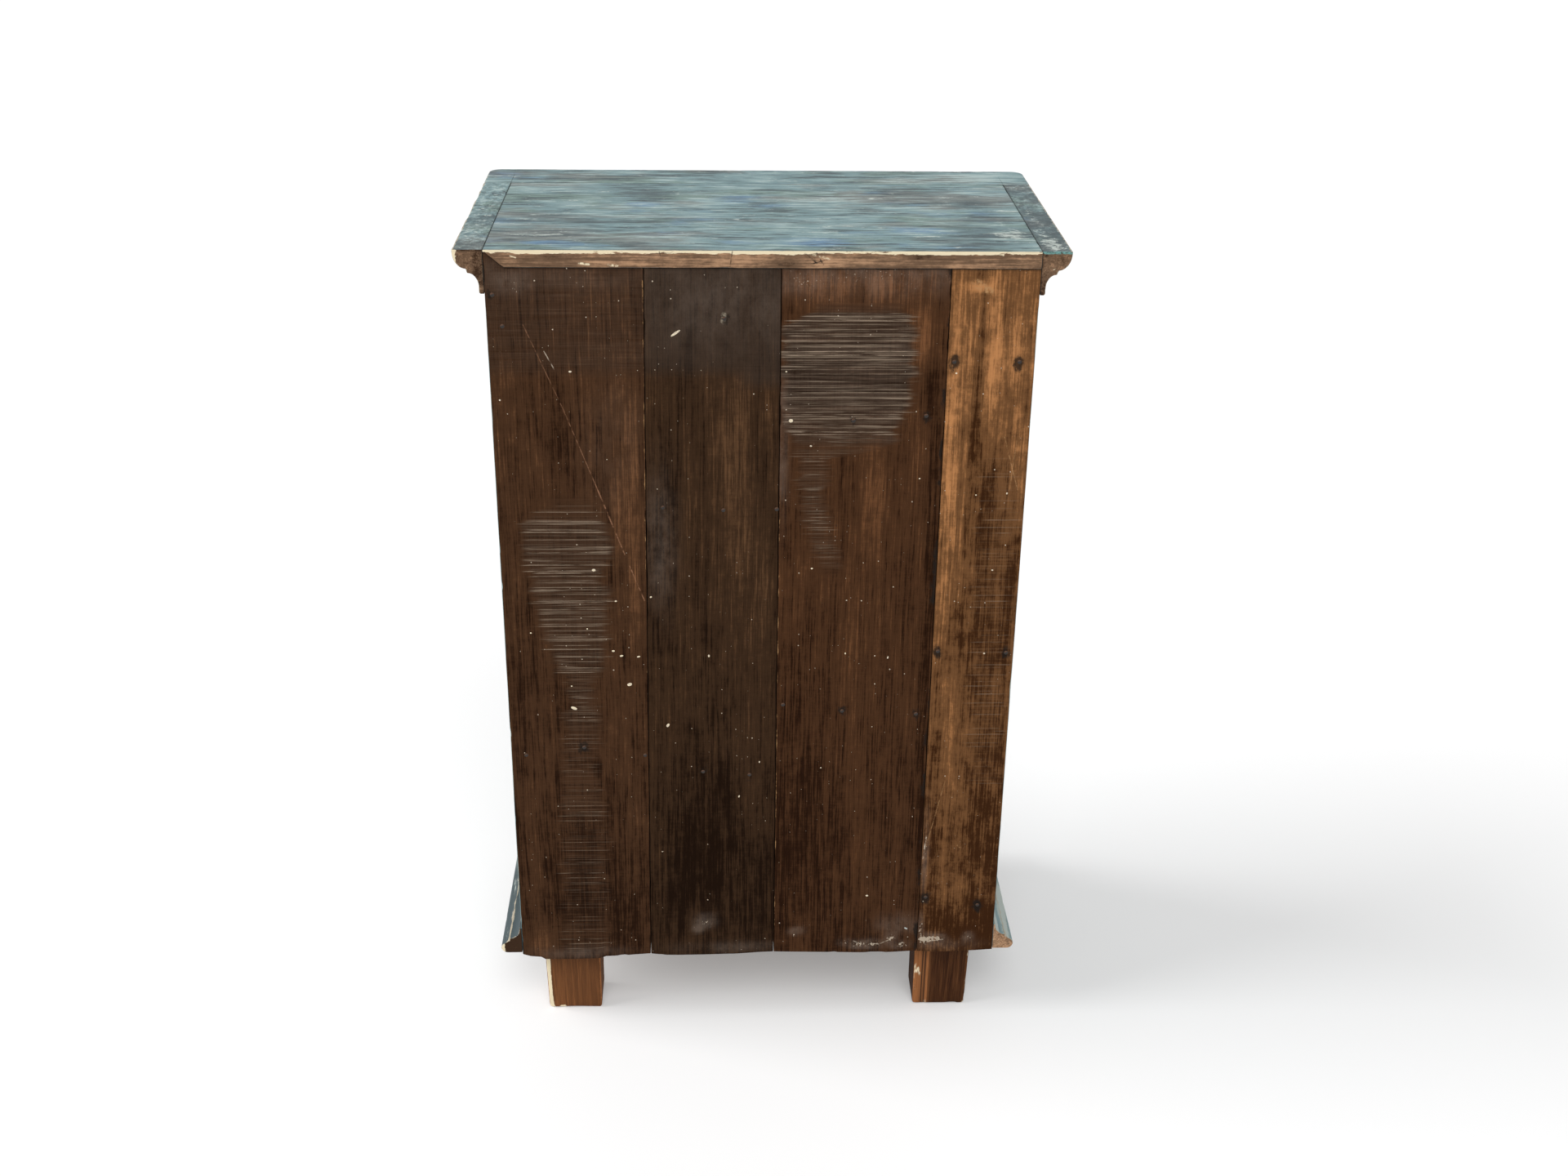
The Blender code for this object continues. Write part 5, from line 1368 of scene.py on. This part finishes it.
def doors(sizes):
    """Both doors: two stiles, two rails and a raised panel each, bare on the back."""
    for side, sign in SIDES:
        stile_with_recesses(f"door_{side}_hinge_stile", sizes, sign, False)
        painted_board(f"door_{side}_meeting_stile", 2, sizes)
        opening = panel_opening(side)
        for level in ("top", "bottom"):
            node = f"door_{side}_{level}_rail"

            def shoulders(surface, low, high):
                middle = (low[0] + high[0]) / 2
                share = (opening / 2 - 0.0001) / ((high[0] - low[0]) / 2)
                surface.points[:, 0] = middle + (surface.points[:, 0] - middle) * share

            painted_board(node, 0, sizes, change=shoulders)
        door_panel(side, sizes)


# Metres. A leaf: half its length, its two faces from the pin's middle, its reach from the front of
# the stile and what it stands back at each end. A knuckle: radius, bore, bevel and end gap
LEAF_HALF, LEAF_FACES, LEAF_REACH, LEAF_BACK = 0.0250, (0.0003, 0.0019), 0.0140, 0.0004
KNUCKLE, KNUCKLE_BORE, KNUCKLE_BEVEL, KNUCKLE_GAP = 0.0035, 0.0018, 0.0003, 0.0002
# A screw with a slotted flat head: radius, height
SCREW = (
    (0, 0.0001), (0.0004, 0.0001), (0.0012, 0.0001), (0.0022, 0.0001), (0.0026, -0.0001), (0.0013, -0.0014),
    (0.0013, -0.009), (0, -0.011),
)


def hinge(side, sign, level, centre, half):
    """A butt hinge: two leaves with knuckles and slotted screws, and a pin with domed tips."""
    front = bounds_of(f"front_stile_{side}")[0][1]
    splits = (-LEAF_HALF, -LEAF_HALF / 3, LEAF_HALF / 3, LEAF_HALF)
    for toward_frame in (True, False):
        node = f"hinge_{side}_{level}_{'frame' if toward_frame else 'door'}_leaf"
        direction = sign if toward_frame else -sign
        near, far = (centre[0] + direction * face for face in LEAF_FACES)
        x_low, x_high = min(near, far), max(near, far)
        low_z, high_z = centre[2] - LEAF_HALF + LEAF_BACK, centre[2] + LEAF_HALF - LEAF_BACK
        plate = (x_low, front - 0.0003, low_z), (x_high, front + LEAF_REACH, high_z)
        parts = [board(*plate, 2, 3, 0.0003, 0.004)]
        for span in ((0, 2) if toward_frame else (1,)):
            low_z = centre[2] + splits[span] + KNUCKLE_GAP
            high_z = centre[2] + splits[span + 1] - KNUCKLE_GAP
            strap = (x_low, centre[1], low_z), (x_high, front + 0.001, high_z)
            parts.append(board(*strap, 2, 4, 0.0003, 0.004))
            loop = [
                (KNUCKLE_BORE, low_z), (KNUCKLE - KNUCKLE_BEVEL, low_z), (KNUCKLE, low_z + KNUCKLE_BEVEL),
                (KNUCKLE, high_z - KNUCKLE_BEVEL), (KNUCKLE - KNUCKLE_BEVEL, high_z), (KNUCKLE_BORE, high_z),
            ]
            parts.append(ring_of(loop, 24, Matrix.Translation((centre[0], centre[1], 0))))
        for shift in (-0.016, 0.016):
            place = stand(near, front + LEAF_REACH / 2, centre[2] + shift, -direction * 90, "Y")
            head = turned(SCREW, 18, Matrix())
            local = head.points
            local[:, 2] -= 0.0006 * (np.abs(local[:, 1]) < 0.0004) * (local[:, 2] > -0.0002)
            head.points = stood(local, place)
            parts.append(head)
        iron(node, join(parts))
    tip, wire = 0.0026, 0.0016
    dome = ((0, 0), (tip * 0.6, 0.0003), (tip, 0.0010), (tip, 0.0014), (wire, 0.0015))
    profile = mirrored([(radius, half - down) for radius, down in dome])
    pin = turned(profile, 20, Matrix.Translation(centre))
    iron(f"hinge_{side}_{level}_pin", pin)


def pull(side):
    """A ring pull: dished plate, post with an eye, hanging ring, and the nut behind the door."""
    low, high = bounds_of(f"pull_plate_{side}")
    middle, radius = (low + high) / 2, (high[0] - low[0]) / 2
    front = bounds_of(f"door_{side}_meeting_stile")[0][1]
    ring_low, ring_high = bounds_of(f"pull_ring_{side}")
    wire = (ring_high[1] - ring_low[1]) / 2
    eye_y, reach = (ring_low[1] + ring_high[1]) / 2, (ring_high[0] - ring_low[0]) / 2 - wire
    x, _, z = middle
    forward = stand(x, front, z, 90)
    plate = turned([(radius * out, up) for out, up in PLATE_RIM], 56, forward)
    post_low, post_high = (x - 0.0025, eye_y + 0.0026, z - 0.0036), (x + 0.0025, front - 0.0003, z + 0.0036)
    post = board(post_low, post_high, 1, 6, 0.0006, 0.002)
    inner, outer, bevel = 0.0024, eye_y - low[1], 0.0006
    loop = [
        (inner, -0.0019), (inner, 0.0019), (0.0030, 0.0025), (outer - bevel, 0.0025),
        (outer, 0.0019), (outer, -0.0019), (outer - bevel, -0.0025), (0.0030, -0.0025),
    ]
    eye = ring_of(loop, 28, stand(x, eye_y, z, 90, "Y"))
    end = front - high[1]
    shank = turned([(0, 0), (0.0024, 0), (0.0024, -0.0225), (0.0018, end), (0, end)], 20, forward)
    iron(f"pull_plate_{side}", join([plate, post, eye, shank]))
    angle = np.arange(12) * math.pi / 6
    loop = np.stack([reach + wire * np.cos(angle), wire * np.sin(angle)], axis=1)
    upright = stand(x, eye_y, (ring_low[2] + ring_high[2]) / 2, 90)
    ring = ring_of(loop, 72, upright)
    centre = np.array(upright.translation)
    wobble = 0.00012 * noise(ring.points, 210, 9)
    ring.points = ring.points - wobble[:, None] * np.sign(ring.points - centre) * [0, 1, 0]
    iron(f"pull_ring_{side}", ring, angle=60)
    nut = f"pull_nut_{side}"
    iron(nut, board(*bounds_of(nut), 1, 7, 0.0007, 0.002))


# Settings


def shade(name, description, default):
    """A colour setting, linear red, green and blue."""
    return FloatVectorProperty(
        name=name, description=description, default=default, subtype="COLOR", size=3, min=0, max=1
    )


def size(name, description, default):
    """A length setting in metres."""
    return FloatProperty(
        name=name, description=description, default=default, min=0, unit="LENGTH", precision=5
    )


def plain(name, description, default, **limits):
    """A plain number from 0 up, such as the strength of a lamp."""
    return FloatProperty(name=name, description=description, default=default, min=0, **limits)


class CabinetColours(bpy.types.PropertyGroup):
    paint_dark: shade("Paint, dark", "Dark streaks of the old paint", (0.060, 0.080, 0.086))
    paint_middle: shade("Paint", "Main colour of the old paint", (0.172, 0.262, 0.274))
    paint_pale: shade("Paint, pale", "Pale streaks of the old paint", (0.365, 0.458, 0.450))
    paint_blue: shade("Paint, blue", "Blue clouds in the old paint", (0.120, 0.220, 0.340))
    paint_green: shade("Paint, green", "Grey-green clouds in the old paint", (0.155, 0.225, 0.200))
    paint_taupe: shade("Paint, taupe", "Grey-brown clouds in the old paint", (0.165, 0.178, 0.168))
    turquoise: shade("Turquoise", "Fresh turquoise at the top's back corner", (0.180, 0.420, 0.400))
    chalk: shade("Chalk", "Rubbed whitish patches of the paint", (0.520, 0.570, 0.530))
    primer: shade("Primer", "Priming that shows where paint is rubbed", (0.500, 0.430, 0.320))
    cream: shade("Cream", "Old cream paint on worn arrises", (0.860, 0.740, 0.510))
    bare: shade("Bare wood", "Wood where the paint is gone", (0.150, 0.088, 0.051))
    plank_1: shade("Plank 1", "Red-brown plank at the +X edge", (0.059, 0.0265, 0.0120))
    plank_2: shade("Plank 2", "Black-brown plank", (0.0395, 0.0195, 0.0092))
    plank_3: shade("Plank 3", "Chestnut plank", (0.062, 0.0262, 0.0110))
    plank_4: shade("Plank 4", "Honey plank at the -X edge", (0.150, 0.067, 0.0255))
    foot: shade("Feet", "Wood of the block feet", (0.118, 0.046, 0.0165))
    inner: shade("Inside", "Wood of the shelf and the inner boards", (0.185, 0.112, 0.064))
    sawn_dark: shade("Sawn wood", "Greyed wood between saw ridges", (0.040, 0.027, 0.0195))
    sawn_pale: shade("Saw ridges", "Pale ridges left by the saw", (0.380, 0.290, 0.210))
    arris: shade("Plank arrises", "Rubbed arrises of the planks", (0.440, 0.245, 0.110))
    scratch: shade("Scratches", "Long scratches on the planks", (0.300, 0.150, 0.085))
    haze: shade("Haze", "Thin film of dust on the planks", (0.340, 0.265, 0.215))
    dust: shade("Dust", "Small pale specks", (0.620, 0.520, 0.400))
    # This colour also serves painted shade: under the top board's back edge, along the top's back edge and
    # under the feet
    soot: shade("Soot", "Dirt in joints and round nails", (0.014, 0.011, 0.009))
    iron: shade("Iron", "Blackened iron", (0.045, 0.040, 0.037))
    rust: shade("Rust", "Browner patches of the iron", (0.100, 0.045, 0.022))


class CabinetSizes(bpy.types.PropertyGroup):
    plank_edge: size("Plank arris", "Worn radius of the back planks' edges", 0.0012)
    board_edge: size("Board arris", "Worn radius of the painted boards' edges", 0.0011)
    saw_depth: size("Saw relief", "Depth between the saw ridges", 0.0003)
    nail_radius: size("Nail head", "Radius of the nail heads in the back", 0.0022)
    panel_margin: size("Panel margin", "Flat strip round a door panel's slope", 0.0115)
    panel_slope: size("Panel slope", "Width of a door panel's slope", 0.020)
    panel_raise: size("Panel raise", "Height of a door panel's field above its margin", 0.0040)


class CabinetStage(bpy.types.PropertyGroup):
    lens: FloatProperty(
        name="Lens", description="Focal length of the camera", default=42.70, min=10, unit="CAMERA"
    )
    side_sun: plain("Side sun", "Strength of the soft light from +X", 2.3)
    back_sun: plain("Back sun", "Strength of the soft light on the plank back", 1.05)
    sky: plain("Sky", "Strength of the light from all round", 0.40)
    glow: plain("Floor glow", "Share of the floor's colour that shadows don't reach", 0.25, max=1)


# Stage

CAMERA_SENSOR, CAMERA_FAR = 36.0, 100.0
CAMERA_PLACE = (0.04284, 1.8991, 1.36521)
CAMERA_RIGHT = (-0.999397, 0.032390, 0.012474)
CAMERA_UP = (-0.002584, -0.427832, 0.903855)
CAMERA_BACK = (0.034612, 0.903278, 0.427658)
# Soft lamps: direction, spread in degrees
SIDE_SUN = ((0.80, 0.02, 0.62), 36)
BACK_SUN = ((-0.05, 1.00, 1.25), 30)
FLOOR_HALF = 15.0


def camera(stage):
    """The photograph's view of the cabinet, from behind and above."""
    data = bpy.data.cameras.new("camera")
    data.lens, data.sensor_width, data.clip_end = stage.lens, CAMERA_SENSOR, CAMERA_FAR
    item = bpy.data.objects.new("camera", data)
    turn = Matrix([CAMERA_RIGHT, CAMERA_UP, CAMERA_BACK]).transposed().to_4x4()
    item.matrix_world = Matrix.Translation(CAMERA_PLACE) @ turn
    bpy.context.scene.collection.objects.link(item)
    bpy.context.scene.camera = item


def sun(name, strength, direction, spread):
    """A soft distant lamp that shines from a direction."""
    data = bpy.data.lights.new(name, "SUN")
    data.energy, data.angle = strength, math.radians(spread)
    item = bpy.data.objects.new(name, data)
    item.rotation_euler = Vector(direction).to_track_quat("Z", "Y").to_euler()
    bpy.context.scene.collection.objects.link(item)


def seen_rays(t):
    """1 for camera, glossy and transmission rays, so that they meet the white background."""
    path = t.tree.nodes.new("ShaderNodeLightPath")
    seen = t.most(path.outputs["Is Camera Ray"], path.outputs["Is Glossy Ray"])
    return t.most(seen, path.outputs["Is Transmission Ray"])


def sky(strength):
    """Plain light from all round, white behind the cabinet."""
    world = bpy.data.worlds.new("sky")
    world.use_nodes = True
    t = Tree(world.node_tree)
    background = world.node_tree.nodes["Background"]
    background.inputs["Color"].default_value = (1, 1, 1, 1)
    seen = seen_rays(t)
    t.set(background.inputs["Strength"], t.plus(strength, t.times(seen, 1 - strength)))
    bpy.context.scene.world = world


def floor(glow):
    """A large pale floor that keeps a soft shadow."""
    t, shader = new_finish("floor")
    for key, value in (("Base Color", (0.97, 0.97, 0.97)), ("Roughness", 1.0), ("Specular IOR Level", 0.0)):
        t.set(shader.inputs[key], value)
    light = t.add("ShaderNodeEmission", {"Strength": 1.0})
    share = t.times(seen_rays(t), glow)
    out = t.tree.nodes["Material Output"].inputs["Surface"]
    t.set(out, t.add("ShaderNodeMixShader", {0: share, 1: shader.outputs[0], 2: light}))
    mesh = bpy.data.meshes.new("floor")
    corners = [(-1, -1), (1, -1), (1, 1), (-1, 1)]
    mesh.from_pydata([(x * FLOOR_HALF, y * FLOOR_HALF, 0) for x, y in corners], [], [(0, 1, 2, 3)])
    item = bpy.data.objects.new("floor", mesh)
    mesh.materials.append(bpy.data.materials["floor"])
    bpy.context.scene.collection.objects.link(item)


# Operators


class CABINET_OT_finishes(bpy.types.Operator):
    """Mix the paints, woods and iron from the colour settings"""

    bl_idname = "cabinet.finishes"
    bl_label = "Finishes"

    def execute(self, context):
        look = context.scene.cabinet_colours
        for effect in EFFECTS:
            node_group(*effect)
        painted_wood("old_paint", look, 0.45, 0.6, -0.22)
        painted_wood("top_paint", look, 1.15, 1.1, -0.10, TOP_STROKES)
        back = bounds_of("back_plank_2")[1][1]
        for number in PLANK_SPANS:
            name = f"plank_{number}"
            traits = UNREST[number], SAW_CONTRAST[number], SAWN_TOP[number]
            plank_wood(name, getattr(look, name), look, *traits, scratches(number, back))
        bare_wood("foot_brown", look.foot, look, 0.55)
        bare_wood("inside_timber", look.inner, look, 0.9)
        old_iron("old_iron", look)
        dried_paint("dried_paint", look)
        return {"FINISHED"}


class CABINET_OT_back(bpy.types.Operator):
    """Make the four back planks, their nail heads and the drops on them"""

    bl_idname = "cabinet.back"
    bl_label = "Plank Back"

    def execute(self, context):
        sizes = context.scene.cabinet_sizes
        for number in PLANK_SPANS:
            plank(number, sizes)
        back_nails(sizes)
        back_drops()
        return {"FINISHED"}


class CABINET_OT_top(bpy.types.Operator):
    """Make the top: middle board, front board and side crowns"""

    bl_idname = "cabinet.top"
    bl_label = "Top and Crown"

    def execute(self, context):
        top_panel(context.scene.cabinet_sizes)
        front_board()
        for side, sign in SIDES:
            side_crown(side, sign)
        return {"FINISHED"}


class CABINET_OT_base(bpy.types.Operator):
    """Make the base mouldings, the block feet and their dowels"""

    bl_idname = "cabinet.base"
    bl_label = "Base and Feet"

    def execute(self, context):
        base_mouldings()
        for end in ("front", "back"):
            for side, _ in SIDES:
                foot(f"{end}_{side}")
                dowel(f"{end}_{side}")
        return {"FINISHED"}


class CABINET_OT_carcass(bpy.types.Operator):
    """Make the sides, the face frame and the boards inside"""

    bl_idname = "cabinet.carcass"
    bl_label = "Carcass"

    def execute(self, context):
        sizes = context.scene.cabinet_sizes
        carcass(sizes)
        face_frame(sizes)
        inside(sizes)
        return {"FINISHED"}


class CABINET_OT_doors(bpy.types.Operator):
    """Make both doors with their raised panels"""

    bl_idname = "cabinet.doors"
    bl_label = "Doors"

    def execute(self, context):
        doors(context.scene.cabinet_sizes)
        return {"FINISHED"}


class CABINET_OT_ironwork(bpy.types.Operator):
    """Make the butt hinges and the ring pulls"""

    bl_idname = "cabinet.ironwork"
    bl_label = "Ironwork"

    def execute(self, context):
        for place in hinge_places():
            hinge(*place)
        for side, _ in SIDES:
            pull(side)
        return {"FINISHED"}


class CABINET_OT_stage(bpy.types.Operator):
    """Make the floor, the light and the camera"""

    bl_idname = "cabinet.stage"
    bl_label = "Stage"

    def execute(self, context):
        stage = context.scene.cabinet_stage
        context.scene.view_settings.view_transform = "Standard"
        camera(stage)
        sun("side_sun", stage.side_sun, *SIDE_SUN)
        sun("back_sun", stage.back_sun, *BACK_SUN)
        sky(stage.sky)
        floor(stage.glow)
        return {"FINISHED"}


SETTINGS = (CabinetColours, CabinetSizes, CabinetStage)
OPERATORS = (
    CABINET_OT_finishes, CABINET_OT_back, CABINET_OT_top, CABINET_OT_base,
    CABINET_OT_carcass, CABINET_OT_doors, CABINET_OT_ironwork, CABINET_OT_stage,
)


class CABINET_PT_settings(bpy.types.Panel):
    """Lists the cabinet's operators and settings in the sidebar"""

    bl_idname = "CABINET_PT_settings"
    bl_label = "Cabinet"
    bl_space_type = "VIEW_3D"
    bl_region_type = "UI"
    bl_category = "Cabinet"

    def draw(self, context):
        for operator in OPERATORS:
            self.layout.operator(operator.bl_idname)
        scene = context.scene
        for group in (scene.cabinet_sizes, scene.cabinet_colours, scene.cabinet_stage):
            for key in group.__annotations__:
                self.layout.prop(group, key)


def register():
    for group in (*SETTINGS, *OPERATORS, CABINET_PT_settings):
        bpy.utils.register_class(group)
    bpy.types.Scene.cabinet_colours = PointerProperty(type=CabinetColours)
    bpy.types.Scene.cabinet_sizes = PointerProperty(type=CabinetSizes)
    bpy.types.Scene.cabinet_stage = PointerProperty(type=CabinetStage)


def unregister():
    del bpy.types.Scene.cabinet_colours, bpy.types.Scene.cabinet_sizes, bpy.types.Scene.cabinet_stage
    for group in (CABINET_PT_settings, *OPERATORS[::-1], *SETTINGS[::-1]):
        bpy.utils.unregister_class(group)


def main():
    """Builds everything in order."""
    register()
    for operator in OPERATORS:
        group, name = operator.bl_idname.split(".")
        getattr(getattr(bpy.ops, group), name)()


if __name__ == "__main__":
    main()
